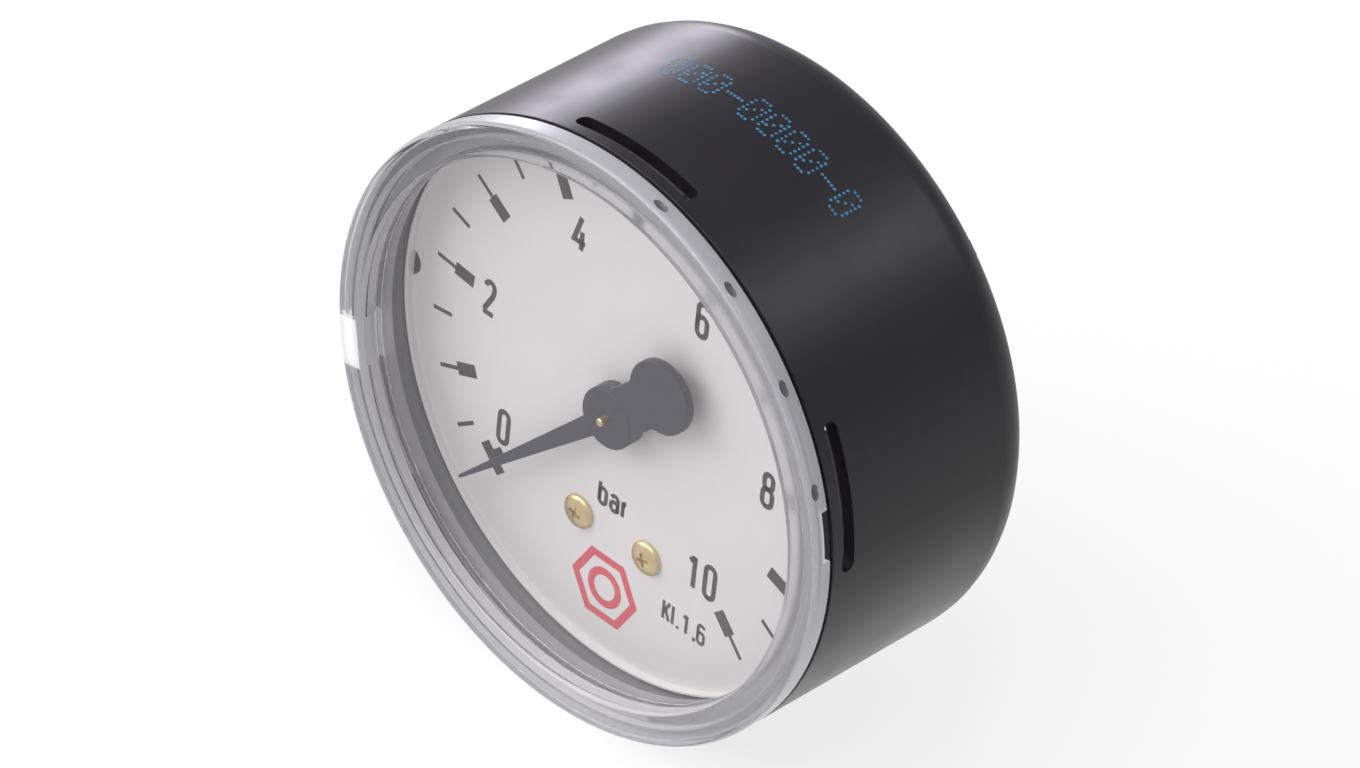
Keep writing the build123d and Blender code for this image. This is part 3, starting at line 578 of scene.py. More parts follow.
def layered(tree, kind, base, *layers):
    """A number or colour with others laid over it, each given as where it covers and what it is."""
    low, high, result = MIX_SOCKETS[kind]
    for cover, other in layers:
        inputs = {0: cover, low: base, high: other}
        base = add(tree, "ShaderNodeMix", inputs, data_type=kind).outputs[result]
    return base


def object_noise(tree, size, detail=3.0, stretch=None):
    """Noise on Object coordinates whose features are about as large as size, in metres."""
    source = add(tree, "ShaderNodeTexCoord").outputs["Object"]
    if stretch:
        source = add(tree, "ShaderNodeMapping", {"Scale": stretch, "Vector": source})
    inputs = {"Scale": 1.0 / size, "Detail": detail, "Roughness": 0.55, "Vector": source}
    return add(tree, "ShaderNodeTexNoise", inputs)


def from_axis(tree):
    """Object coordinates, their X, Y and Z apart, and the distance from the gauge's axis."""
    place = add(tree, "ShaderNodeTexCoord").outputs["Object"]
    axes = add(tree, "ShaderNodeSeparateXYZ", {0: place}).outputs
    flat = add(tree, "ShaderNodeVectorMath", {0: place, 1: (1, 0, 1)}, operation="MULTIPLY")
    reach = add(tree, "ShaderNodeVectorMath", {0: flat}, operation="LENGTH")
    return place, axes, reach.outputs["Value"]


def clear_polycarbonate(notch_angle, notch_width, skirt, groove, bore, pane_back):
    """Polycarbonate, injection moulded in a polished tool: sharp reflections, light goes through."""
    material = new_material("polycarbonate_moulded_clear")
    tree = material.node_tree
    if tree.nodes:
        return material
    ripple = object_noise(tree, 9 * MM, 1.0)
    wave = add(tree, "ShaderNodeBump", {"Strength": 0.06, "Distance": 0.05 * MM, "Height": ripple})
    place, axes, radius = from_axis(tree)
    turn = math.radians(notch_angle)
    ways = []
    for way in ((-math.cos(turn), 0, -math.sin(turn)), (-math.sin(turn), 0, math.cos(turn))):
        made = add(tree, "ShaderNodeVectorMath", {0: place, 1: way}, operation="DOT_PRODUCT")
        ways.append(made.outputs["Value"])
    along, aside = ways
    aside = add(tree, "ShaderNodeMath", {0: aside}, operation="ABSOLUTE")

    def over(source, edge):
        """1 where a length is over an edge, 0 where it is under it."""
        edges = {"Value": source, "From Min": edge - SOFT_EDGE, "From Max": edge + SOFT_EDGE}
        return add(tree, "ShaderNodeMapRange", edges)

    def both(first, second):
        return add(tree, "ShaderNodeMath", {0: first, 1: second}, operation="MULTIPLY")

    def less(first, second):
        return add(tree, "ShaderNodeMath", {0: first, 1: second}, operation="SUBTRACT")

    # Zones of the moulding, each over the ones before it: the slightly hazy ring round the pane, the
    # dull sleeve that carries the pane, the frosted outside of the skirt between groove and seam, the
    # ring's outer wall, the ground notch on the left, and the snap beads, which lie in dark slots and
    # are painted a dark grey as painted shade.
    depth = axes["Y"]
    ring = over(radius, WINDOW_HIGH.x - 3.56 * MM)
    sleeve = both(over(radius, bore - 0.1 * MM), over(depth, pane_back + 0.35 * MM))
    seat = less(over(depth, groove + 0.3 * MM), over(depth, CASE_LOW.y + 0.9 * MM))
    seat = both(over(radius, skirt - 0.1 * MM), seat)
    wall = over(radius, WINDOW_HIGH.x - 0.2 * MM)
    notch = both(over(along, WINDOW_HIGH.x - 2.6 * MM), less(1.0, over(aside, notch_width / 2)))
    bead = both(over(radius, skirt + 0.1 * MM), over(depth, CASE_LOW.y + 0.3 * MM))
    zones = (ring, sleeve, seat, wall, notch, bead)
    # the ring's haze grows from its left to its right, and its colour is painted greyer to the right as
    # painted shade; the skirt's colour is painted greyer at the top, also painted shade
    side = add(tree, "ShaderNodeMapRange", {"Value": axes["X"], "From Min": -8 * MM, "From Max": 14 * MM})
    height = add(tree, "ShaderNodeMapRange", {"Value": axes["Z"], "From Min": 4 * MM, "From Max": 24 * MM})
    haze_and_painted_shade = layered(tree, "RGBA", linear("#dddde0"), (side, linear("#bebdc2")))
    frost_and_painted_shade = layered(tree, "RGBA", linear("#e2e1e4"), (height, linear("#a3a2a6")))
    # painted shade: the greyer right side of the ring, the greyer top of the skirt and the dark grey beads
    # stand in for shade
    tones = (haze_and_painted_shade, linear("#a8a6ab"), frost_and_painted_shade, linear("#cfced3"), linear("#f2f2f4"), linear("#39373b"))
    rough = (layered(tree, "FLOAT", 0.03, (side, 0.24)), 0.4, 0.4, 0.3, 0.3, 0.45)
    open_share = (layered(tree, "FLOAT", 0.93, (side, 0.72)), 0.5, 0.24, 0.6, 0.4, 0.1)
    inputs = {
        "Base Color": layered(tree, "RGBA", (0.988, 0.985, 0.988, 1.0), *zip(zones, tones)),
        "Roughness": layered(tree, "FLOAT", 0.012, *zip(zones, rough)),
        "Transmission Weight": layered(tree, "FLOAT", 1.0, *zip(zones, open_share)),
        "IOR": 1.585,
        "Specular IOR Level": 0.38,
        "Normal": wave,
    }
    clear = add(tree, "ShaderNodeBsdfPrincipled", inputs)
    # light reaches the dial through the window without the noise of refracted light
    open_way = add(tree, "ShaderNodeBsdfTransparent", {0: (0.93, 0.93, 0.935, 1.0)})
    path = add(tree, "ShaderNodeLightPath").outputs
    rays = {0: path["Is Shadow Ray"], 1: path["Is Diffuse Ray"]}
    lets_through = add(tree, "ShaderNodeMath", rays, operation="MAXIMUM")
    mixed = add(tree, "ShaderNodeMixShader", {0: lets_through, 1: clear, 2: open_way})
    add(tree, "ShaderNodeOutputMaterial", {0: mixed})
    return material


def surface(name, cloud, colours, gloss, fixed, relief=None, marked=False, painted_light_zone=None):
    """An opaque finish whose colour goes from dark to light with a cloud of noise (size, detail).

    The gloss is one roughness, or goes from low to high with the cloud, or with the relief where it is
    marked. The relief is a noise, its strength and its height, and fixed holds what is the same all
    over. A painted light zone (radius, depth) bounds the inside wall that is painted a lighter grey:
    painted light that stands in for light scattered by the window greying the inside."""
    material = new_material(name)
    tree = material.node_tree
    if tree.nodes:
        return material
    cloud = object_noise(tree, *cloud)
    dark, light = colours
    inputs = {"Base Color": layered(tree, "RGBA", dark, (cloud, light)), "Roughness": gloss, **fixed}
    if relief:
        noise, strength, height = relief
        relief = object_noise(tree, *noise)
        skin = {"Strength": strength, "Distance": height, "Height": relief}
        inputs["Normal"] = add(tree, "ShaderNodeBump", skin)
    if isinstance(gloss, tuple):
        source = relief if marked else cloud
        # most of the noise lies between 0.3 and 0.7
        spread = {"Value": source, "From Min": 0.3, "From Max": 0.7, "To Min": gloss[0], "To Max": gloss[1]}
        inputs["Roughness"] = add(tree, "ShaderNodeMapRange", spread)
    if painted_light_zone:
        _, axes, radius = from_axis(tree)
        edge, front = painted_light_zone
        inside = {"Value": radius, "From Min": edge + 0.1 * MM, "From Max": edge + 0.02 * MM}
        ahead = {"Value": axes["Y"], "From Min": front + 0.1 * MM, "From Max": front - 0.1 * MM}
        inside, ahead = (add(tree, "ShaderNodeMapRange", ends) for ends in (inside, ahead))
        zone = add(tree, "ShaderNodeMath", {0: inside, 1: ahead}, operation="MULTIPLY")
        # painted light: the inside wall in front of the dial is painted a lighter grey, standing in for light
        # that the window and the white dial send onto it
        inputs["Base Color"] = layered(tree, "RGBA", inputs["Base Color"], (zone, linear("#5f5d62")))
    made = add(tree, "ShaderNodeBsdfPrincipled", inputs)
    add(tree, "ShaderNodeOutputMaterial", {0: made})
    return material


def pit_floors_painted_dark():
    """Rough floors of the small pits that the mould's pins leave in the clear ring, painted dark grey as
    painted shade for the dark they show of the case behind.
    """
    colours = linear("#4a484e"), linear("#6c6a70")
    fixed = {"IOR": 1.585, "Transmission Weight": 0.4}
    return surface("polycarbonate_pin_marks", (0.2 * MM, 2.0), colours, (0.4, 0.6), fixed)


def moulded_plastic(name, hex_colour, roughness, grain, depth, painted_light_zone=None):
    """Plastic moulded in a finely eroded tool: even colour, a satin gloss broken by a fine grain, and a
    painted lighter grey inside a painted light zone where one is given.
    """
    colours = shades(hex_colour, 0.88, 1.12)
    gloss = (roughness - 0.03, roughness + 0.03)
    relief = ((grain, 2.0), 0.25, depth)
    return surface(name, (7 * MM, 2.0), colours, gloss, {"IOR": 1.53}, relief, painted_light_zone=painted_light_zone)


def lacquer(name, hex_colour, roughness):
    """Stoving lacquer on aluminium sheet: a low orange-peel relief under a soft gloss."""
    colours = shades(hex_colour, 0.97, 1.02)
    gloss = (roughness - 0.04, roughness + 0.04)
    relief = ((0.7 * MM, 1.0), 0.12, 0.01 * MM)
    return surface(name, (12 * MM, 2.0), colours, gloss, {"IOR": 1.5}, relief)


def ink(name, hex_colour, roughness):
    """Printing ink: a flat film whose cover varies a little from place to place."""
    return surface(name, (0.5 * MM, 3.0), shades(hex_colour, 0.88, 1.15), roughness, {"IOR": 1.48})


# Each metal's colour and roughness, and the size, stretch and height of its tool marks.
METALS = {
    # brass turned on a lathe: warm yellow, with fine rings round the axis
    "brass_turned": ("#c9a550", 0.24, 0.12 * MM, (1, 8, 1), 0.004 * MM),
    # brass forged and then machined: a little duller and rougher than the turned pieces
    "brass_forged": ("#c3a057", 0.32, 0.5 * MM, (1, 3, 1), 0.01 * MM),
    # brass stamped from rolled sheet: long thin rolling marks
    "brass_sheet_rolled": ("#cfae63", 0.3, 0.15 * MM, (0.08, 1, 1), 0.004 * MM),
    # phosphor bronze tube, drawn: redder than brass, with marks along the tube
    "phosphor_bronze_drawn": ("#b87f4e", 0.3, 0.2 * MM, (1, 0.3, 1), 0.004 * MM),
    # steel pins, ground: neutral grey and smooth
    "steel_ground": ("#a6a6a8", 0.22, 0.1 * MM, (1, 6, 1), 0.003 * MM),
    # steel screws, zinc plated: a cool, slightly cloudy silver
    "steel_zinc_plated": ("#b9bcc2", 0.3, 0.6 * MM, (1, 1, 1), 0.006 * MM),
}


def metal(name):
    """Metal with tool marks: noise drawn out along the marks varies its colour, gloss and relief."""
    hex_colour, roughness, line_size, stretch, height = METALS[name]
    gloss = (roughness - 0.06, roughness + 0.08)
    relief = ((line_size, 3.0, stretch), 0.35, height)
    return surface(name, (3 * MM, 3.0), shades(hex_colour, 0.86, 1.1), gloss, {"Metallic": 1.0}, relief, True)


# the nodes whose shapes stay as the CAD model has them, by their metal
CAD_FINISHES = {
    "brass_turned": (
        "dial_posts", "pointer_bush", "pinion_arbor", "tube_tip", "restrictor_screw", "movement_pillars",
        "movement_screws", "hairspring_collet", "hairspring_stud",
    ),
    "brass_sheet_rolled": ("sector_gear", "link", "movement_front_plate", "movement_back_plate"),
    "steel_ground": ("sector_arbor", "sector_pin", "link_pin"),
    "steel_zinc_plated": ("movement_mount_screws",),
    "phosphor_bronze_drawn": ("hairspring",),
}

# ---- lettering: strokes of each sign in a box of 1 by 1, drawn along their middle lines ----------------
TURN = 0.17  # height of a quarter bow, so that bows are round on a narrow sign


def bow(left, bottom, right, top):
    """A closed loop with round ends."""
    cx, half = (left + right) / 2, (right - left) / 2
    rise = min(TURN * 2 * half, (top - bottom) / 2)
    return arc(cx, top - rise, half, rise, 180, 0, 10) + arc(cx, bottom + rise, half, rise, 0, -180, 10)


# each sign: width as a share of a digit's, closed strokes, open strokes
SIGNS = {
    "0": (1.0, [bow(0, 0, 1, 1)], []),
    "1": (0.68, [], [[(1, 1.0), (1, 0.0)], [(0.0, 0.80), (0.95, 0.965)]]),
    "2": (
        0.98,
        [],
        [arc(0.5, 0.81, 0.5, 0.19, 172, -20, 12) + [(0.86, 0.58), (0.0, 0.06)], [(-0.1, 0), (1.05, 0)]],
    ),
    "4": (1.05, [], [[(0.62, 1.0), (0.0, 0.24), (1.12, 0.24)], [(0.78, 0.58), (0.78, 0.0)]]),
    "6": (1.0, [bow(0, 0, 1, 0.60)], [[(0, 0.3)] + arc(0.5, 0.83, 0.5, 0.17, 180, 15, 10)]),
    "8": (1.0, [bow(0, 0, 1, 0.54), bow(0.06, 0.54, 0.94, 1)], []),
    "b": (1.0, [bow(0, 0, 1, 0.74)], [[(0, 1.0), (0, 0.1)]]),
    "a": (1.0, [bow(0, 0, 1, 0.44)], [arc(0.5, 0.74 - TURN, 0.5, TURN, 165, 0, 8) + [(1, 0.0)]]),
    "r": (0.62, [], [[(0, 0.74), (0, 0.0)], arc(1.0, 0.42, 1.0, 0.30, 165, 90, 6)]),
    "K": (1.0, [], [[(0, 1), (0, 0)], [(0.04, 0.36), (0.98, 1.0)], [(0.36, 0.56), (1.02, 0.0)]]),
    "l": (0.3, [], [[(0, 1), (0, 0.1), (0.9, 0.0)]]),
    ".": (0.12, [], [[(0.5, -0.05), (0.5, 0.09)]]),
    ",": (0.12, [], [[(0.7, 0.09), (0.2, -0.13)]]),
}


def stroke_flats(path, width, closed):
    """Flat polygons of a stroke of even width along a path."""
    pairs = []
    count = len(path)
    for i, here in enumerate(path):
        ways = []
        if i or closed:
            ways.append((here - path[i - 1]).normalized())
        if i < count - 1 or closed:
            ways.append((path[(i + 1) % count] - here).normalized())
        way = sum(ways, Vector((0, 0))).normalized()
        side = Vector((-way.y, way.x)) * (width / 2 / max(0.6, way.dot(ways[0])))
        pairs.append((tuple(here + side), tuple(here - side)))
    steps = zip(pairs, pairs[1:] + pairs[:1] if closed else pairs[1:])
    return [[b, d, c, a] for (a, b), (c, d) in steps]


def sign_flats(sign, left, base, height, digit_width, stroke):
    """Flat polygons of one sign whose lower left corner is at (left, base)."""
    share, loops, lines = SIGNS[sign]
    wide = share * digit_width - stroke if share > 0.2 else share * digit_width
    tall = height - stroke
    flats = []
    for strokes, closed in ((loops, True), (lines, False)):
        for line in strokes:
            path = [Vector((left + stroke / 2 + u * wide, base + stroke / 2 + v * tall)) for u, v in line]
            path = [p for i, p in enumerate(path) if not i or (p - path[i - 1]).length > PLAY]
            flats += stroke_flats(path, stroke, closed)
    return flats


def word_flats(word, left, base, height, digit_width, stroke, gap):
    flats = []
    for sign in word:
        flats += sign_flats(sign, left, base, height, digit_width, stroke)
        left += max(SIGNS[sign][0] * digit_width, stroke) + gap
    return flats



def print_on_dial(name, flats, dial, film):
    """A print that lies on the dial's face."""
    face = dial_face(dial)
    made = solid(name, *lay_faces(flats, face - dial.ink, face + dial.ink / 2))
    finish_piece(made, name, film, "housing")


# ---- operators ----------------------------------------------------------------------------------------
class GaugeOperator:
    """What all of the gauge's operators share."""

    bl_options = {"REGISTER", "UNDO"}


class GAUGE_OT_case(GaugeOperator, bpy.types.Operator):
    """Moulded case with its snap slots, ribs and key"""

    bl_idname = "gauge.case"
    bl_label = "Case"

    def execute(self, context):
        s = context.scene.gauge_case
        radius, back, front = CASE_HIGH.x, CASE_HIGH.y, CASE_LOW.y
        bore = radius - s.wall
        seat = bore + s.seat_step
        floor = back - s.floor
        seat_end = front + s.seat_depth
        slot = front + s.slot_depth
        half_width = s.slot_width / 2
        half_arc = math.radians(s.slot_arc / 2) * radius
        places = [s.slot_first + i * 360 / s.slot_count for i in range(s.slot_count)]

        def opening(angle):
            """Half the slot's width at an angle, with round ends."""
            off = min(apart(angle, p) for p in places)
            run = half_arc - math.radians(off) * radius
            if run <= 0:
                return 0.0
            if run >= half_width:
                return half_width
            return math.sqrt(half_width**2 - (half_width - run) ** 2)

        stations = [i * 2.0 for i in range(180)]
        end = math.degrees(half_width / radius)
        for p in places:
            for side in (-1, 1):
                edge = p + side * s.slot_arc / 2
                stations = [a for a in stations if apart(a, edge) > 1.9]
                stations += [edge - side * end * f for f in (-0.9, 0, 0.04, 0.15, 0.35, 0.65, 1, 1.6)]
        stations = sorted(a % 360 for a in stations)

        lower = [(s.stem_hole, floor, 0), (s.stem_hole, back, 0.2 * MM), (radius, back, s.rear_radius)]
        upper = [
            (radius, front + s.joint_width, 0.06 * MM),
            (radius - s.joint_depth, front + s.joint_width - 0.05 * MM, 0),
            (radius - s.joint_depth, front, 0.05 * MM),
            (seat, front, s.edge_radius),
        ]
        inner = [(seat, seat_end, 0), (bore, seat_end, 0.1 * MM), (bore, floor, s.inner_radius)]
        outline = lower + upper + inner
        arcs = rounded(outline, 8)
        outer_last = max(i for i, (r, y) in enumerate(arcs) if abs(r - radius) < PLAY and y > slot)
        past = slot + half_width
        inner_first = min(i for i, (r, y) in enumerate(arcs) if abs(r - seat) < PLAY and y > past)
        head, middle, tail = arcs[: outer_last + 1], arcs[outer_last + 1 : inner_first], arcs[inner_first:]

        def profile(angle):
            gap = opening(angle)
            outside = [(radius, slot + gap), (radius, slot - gap)]
            inside = [(seat, slot - gap), (seat, slot + gap)]
            return head + outside + middle + inside + tail

        points, faces = turned(stations, profile, True)
        count = len(profile(0))
        a, b = len(head), len(head) + 2 + len(middle)
        kept = []
        for index, face in enumerate(faces):
            station, place = divmod(index, count)
            j = (station + 1) % len(stations)
            cut = opening(stations[station]) > 0 or opening(stations[j]) > 0
            if cut and place in (a, b):
                continue
            kept.append(face)
        for i in range(len(stations)):
            j = (i + 1) % len(stations)
            if opening(stations[i]) > 0 or opening(stations[j]) > 0:
                here, there = i * count, j * count
                for outer, inside in ((a, b + 1), (a + 1, b)):
                    kept.append((here + outer, here + inside, there + inside, there + outer))
        case = solid("case", points, kept)

        ribs = []
        half_rib, rib_reach, sunk = 0.8 * MM, 1.8 * MM, 0.3 * MM
        root, tip = bore + sunk, bore - rib_reach
        flat = [(root, -half_rib), (root, half_rib), (tip, half_rib), (tip, -half_rib)]
        for i in range(4):
            turn = Matrix.Rotation(math.radians(45 + 90 * i), 4, "Z")
            ribs.append(plate("rib", [flat], floor + s.floor / 2, DIAL_HIGH.y, 0, turn))
        dial = context.scene.gauge_dial
        key_front = DIAL_HIGH.y - dial.thickness / 2
        ribs.append(plate("key", [circle(-bore, 0, dial.key)], floor + s.floor / 2, key_front))
        combine(case, ribs, "UNION")

        stem = context.scene.gauge_stem
        play, hole, bottom = 0.1 * MM, 1.6 * MM, floor - 0.5 * MM
        sink = stem.screw_head + play
        cone = [(0, back + play), (sink + play, back + play)]
        cone += [(hole, back - (sink - hole)), (hole, bottom), (0, bottom)]
        cutters = []
        for i in range(stem.screw_count):
            cutter = lathe("sink", cone, 24, True)
            x, _, z = polar(stem.screw_circle, 90 + i * 360 / stem.screw_count, 0)
            cutter.data.transform(Matrix.Translation((x, 0, z)))
            cutters.append(cutter)
        combine(case, cutters, "DIFFERENCE")
        # the inside wall in front of the dial is painted a lighter grey: painted light
        painted_light_zone = (bore, DIAL_LOW.y + dial.rim_height)
        plastic = moulded_plastic("abs_moulded_black", s.plastic, 0.36, 0.3 * MM, 0.01 * MM, painted_light_zone)
        finish_piece(case, "case_shell", plastic, "housing", ["case"])
        return {"FINISHED"}


class GAUGE_OT_case_print(GaugeOperator, bpy.types.Operator):
    """Dots of an ink-jet print on the case: plain zeros and dashes"""

    bl_idname = "gauge.case_print"
    bl_label = "Case Print"

    def execute(self, context):
        s = context.scene.gauge_case
        radius = CASE_HIGH.x
        zero = ["01110", "10001", "10011", "10101", "11001", "10001", "01110"]
        dash = ["00000", "00000", "00000", "11111", "00000", "00000", "00000"]
        across, squeeze = math.degrees(s.dot_pitch / radius), 0.9
        middle, row_pitch = CASE_HIGH.y - s.print_depth, 0.56 * MM
        points = []
        for place, sign in enumerate((zero, zero, zero, dash, zero, zero, zero, zero, dash, zero)):
            start = s.print_first - place * s.print_step
            for row, line in enumerate(sign):
                for column, mark in enumerate(line):
                    if mark == "1":
                        y = middle + (3 - row) * row_pitch
                        points.append(polar(radius, start - column * across * squeeze, y))
        ring = circle(0, 0, s.dot, 8)
        thick = 0.012 * MM
        dot_points = [(thick, y, z) for y, z in ring] + [(-thick, y, z) for y, z in ring]
        dot_faces = [tuple(range(8)), tuple(range(15, 7, -1))]
        dot_faces += [(i, (i + 1) % 8, 8 + (i + 1) % 8, 8 + i) for i in range(8)]
        dot = solid("dot", dot_points, dot_faces)
        ink_jet = ink("ink_jet_blue", s.ink, 0.5)
        inputs = {"Dot": dot, "Size Spread": 0.25, "Seed": 5, "Material": ink_jet}
        made = run_tree("case_print", tree_dots(), points, inputs)
        bpy.data.objects.remove(dot)
        finish_piece(made, "case_print", ink_jet, "housing")
        return {"FINISHED"}


class GAUGE_OT_window(GaugeOperator, bpy.types.Operator):
    """Clear window with its ring, skirt, snap tabs and two notches"""

    bl_idname = "gauge.window"
    bl_label = "Window"

    def execute(self, context):
        s = context.scene.gauge_window
        c = context.scene.gauge_case
        radius, front = WINDOW_HIGH.x, WINDOW_LOW.y
        seam = CASE_LOW.y
        pane_front = front + s.inset
        pane_back = pane_front + s.pane
        skirt = radius - c.wall + c.seat_step - s.play
        bore = skirt - s.skirt_wall
        slot = seam + c.slot_depth
        skirt_end = pane_back + s.skirt_length
        groove = seam - s.groove
        tabs = [c.slot_first + i * 360 / c.slot_count for i in range(c.slot_count)]
        notches = [s.notch_angle, s.notch_angle + 180]
        notch_half = math.degrees(math.asin(s.notch_width / 2 / radius))

        def near(angle, places, half):
            return min(apart(angle, p) for p in places) < half

        def profile(angle):
            bead = s.bead_height if near(angle, tabs, s.bead_arc / 2) else 0.0
            back = seam - (s.notch_depth if near(angle, notches, notch_half) else 0.0)
            low, high = slot + s.bead_width / 2, slot - s.bead_width / 2
            corners = [
                (0, pane_back, 0),
                (bore, pane_back, 0.3 * MM),
                (bore, skirt_end, 0.2 * MM),
                (skirt, skirt_end, 0.1 * MM),
                (skirt, low, 0),
                (skirt + bead / 3, low, 0),
                (skirt + bead, slot, 0),
                (skirt + bead, high, 0),
                (skirt, high, 0),
                (skirt, groove, 0.15 * MM),
                (radius - s.lip, groove, 0.15 * MM),
                (radius - s.lip, back, 0.06 * MM),
                (radius, back, 0.1 * MM),
                (radius, front, s.rim_radius),
                (radius - s.rim, front, s.rim_radius * 0.9),
                (radius - s.rim, pane_front, 0.15 * MM),
                (0, pane_front, 0),
            ]
            return rounded(corners, 6)

        stations = [i * 2.0 for i in range(180)]
        step = 0.04
        for places, half in ((tabs, s.bead_arc / 2), (notches, notch_half)):
            for p in places:
                for edge in (p - half, p + half):
                    stations = [a for a in stations if apart(a, edge) > 0.5]
                    stations += [edge - step, edge + step]
        stations = sorted(a % 360 for a in stations)
        made = solid("window", *turned(stations, profile, False))
        pit_y = seam - s.pit_depth
        ball = arc(0, 0, 0.45 * MM, 0.45 * MM, -90, 90, 8)
        pit = lathe("pit", ball, 12)
        pit.data.transform(Matrix.Diagonal((0.65, 1.0, 1.9, 1.0)))
        # the pits' floors are painted dark grey: painted shade
        ground = pit_floors_painted_dark()
        pits = round_axis("pits", pit, s.pit_count, s.pit_first, s.pit_step, radius, pit_y, ground)
        combine(made, [pits], "DIFFERENCE")
        plastic = clear_polycarbonate(s.notch_angle, s.notch_width, skirt, groove, bore, pane_back)
        finish_piece(made, "window_clear", plastic, "housing", ["window"], 40)
        made.data.materials.append(ground)
        for face in made.data.polygons:
            x, y, z = face.center
            in_pit = radius - 0.5 * MM < math.hypot(x, z) < radius - 0.03 * MM
            face.material_index = int(in_pit and abs(y - pit_y) < 0.4 * MM)
        return {"FINISHED"}


class GAUGE_OT_dial(GaugeOperator, bpy.types.Operator):
    """Lacquered dial with its holes and edge notch"""

    bl_idname = "gauge.dial"
    bl_label = "Dial"

    def execute(self, context):
        s = context.scene.gauge_dial
        case = context.scene.gauge_case
        radius, centre = DIAL_HIGH.x, CASE_HIGH.x - case.wall
        notch = s.key + s.key_play
        # where the notch's circle meets the dial's edge
        meet = (radius**2 - notch**2 + centre**2) / (2 * centre)
        start = 180 - math.degrees(math.acos(meet / radius))
        turn = math.degrees(math.acos((centre - meet) / notch))
        outline = arc(0, 0, radius, radius, -start, start, 200)
        outline += arc(-centre, 0, notch, notch, turn, -turn, 24)[1:-1]
        holes = [circle(0, 0, s.hole)]
        holes += [circle(x, -s.screw_drop, s.screw_hole) for x in (-s.screw_x, s.screw_x)]
        face = dial_face(s)
        made = plate("dial", [outline, *holes], DIAL_HIGH.y, face, s.edge)
        inner, sunk = radius - s.rim_width, 0.2 * MM
        slope = 0.02 * MM
        ring = [(radius, face + sunk, 0), (radius, DIAL_LOW.y, 0.1 * MM)]
        ring += [(inner, DIAL_LOW.y, 0.1 * MM), (inner - slope, face + sunk, 0)]
        ring = rounded(ring, 3, slope)
        rim = lathe("rim", ring, 240, True)
        combine(made, [rim], "UNION")
        white = lacquer("aluminium_lacquered_white", s.lacquer, 0.42)
        finish_piece(made, "dial_plate", white, "housing", ["dial"], flat=True)
        return {"FINISHED"}


class GAUGE_OT_scale(GaugeOperator, bpy.types.Operator):
    """Lines and blocks of the printed scale"""

    bl_idname = "gauge.scale"
    bl_label = "Scale"

    def execute(self, context):
        s = context.scene.gauge_dial
        dial_ink = ink("screen_ink_grey", s.print, 0.45)

        def bar(length, width):
            x, z = length / 2, width / 2
            flat = [(-x, -z), (x, -z), (x, z), (-x, z)]
            return solid("bar", *lay_faces([flat], -s.ink, s.ink / 2))

        length = s.line_outer - s.line_inner
        middle = (s.line_outer + s.line_inner) / 2
        block = s.line_inner - s.block_inner + 0.02 * MM
        block_middle = s.block_inner + block / 2
        # each row of bars: its name, a bar, how many, the first one's angle, the step and the radius
        rows = (
            ("scale_lines", bar(length, s.line_width), 20, s.zero - s.step / 2, -s.step / 2, middle),
            ("scale_blocks", bar(block, s.block_width), 10, s.zero - s.step, -s.step, block_middle),
            ("zero_block", bar(1.2 * MM, s.block_width), 1, s.stop_mark, 0, 21.6 * MM),
            ("zero_bar", bar(1.35 * MM, 3.5 * MM), 1, s.stop_mark, 0, 22.85 * MM),
        )
        for name, piece, count, first, step, radius in rows:
            made = round_axis(name, piece, count, first, step, radius, dial_face(s), dial_ink)
            finish_piece(made, name, dial_ink, "housing")
        return {"FINISHED"}


class GAUGE_OT_lettering(GaugeOperator, bpy.types.Operator):
    """Numbers, unit and accuracy class on the dial"""

    bl_idname = "gauge.lettering"
    bl_label = "Lettering"

    def execute(self, context):
        s = context.scene.gauge_dial
        dial_ink = ink("screen_ink_grey", s.print, 0.45)
        digit = (s.digit_height, s.digit_width, s.digit_stroke)
        half_w, half_h = s.digit_width / 2, s.digit_height / 2
        flats = []
        # the middles of the numbers with one digit, and the two digits of the last number
        for sign, x, z in (("0", -15.35, -11.7), ("2", -18.7, 1.8), ("4", -8.15, 15.65), ("6", 8.15, 15.1),
                           ("8", 18.4, 1.5)):
            flats += sign_flats(sign, x * MM - half_w, z * MM - half_h, *digit)
        for sign, left in (("1", 9.65), ("0", 11.75)):
            flats += sign_flats(sign, left * MM, -13.1 * MM - half_h, *digit)
        print_on_dial("dial_numbers", flats, s, dial_ink)
        unit = word_flats("bar", -2.5 * MM, -12.75 * MM, 2.85 * MM, 1.36 * MM, 0.47 * MM, 0.2 * MM)
        print_on_dial("dial_unit", unit, s, dial_ink)
        grade = []
        for sign, x in (("K", 7.1), ("l", 8.35), (".", 9.0), ("1", 9.75), (",", 11.2), ("6", 11.7)):
            grade += sign_flats(sign, x * MM, -20.85 * MM, 2.5 * MM, 1.17 * MM, 0.38 * MM)
        print_on_dial("dial_grade", grade, s, dial_ink)
        return {"FINISHED"}


class GAUGE_OT_sign(GaugeOperator, bpy.types.Operator):
    """Plain red sign of a hexagon nut where dials carry a maker's sign"""

    bl_idname = "gauge.sign"
    bl_label = "Nut Sign"

    def execute(self, context):
        s = context.scene.gauge_dial
        x, z = -0.4 * MM, -21.9 * MM
        flats = []
        for line in (circle(x, z, 3.9 * MM, 6), circle(x, z, 1.8 * MM, 40)):
            flats += stroke_flats([Vector(p) for p in line], 0.85 * MM, True)
        print_on_dial("dial_sign", flats, s, ink("screen_ink_red", s.sign, 0.45))
        return {"FINISHED"}


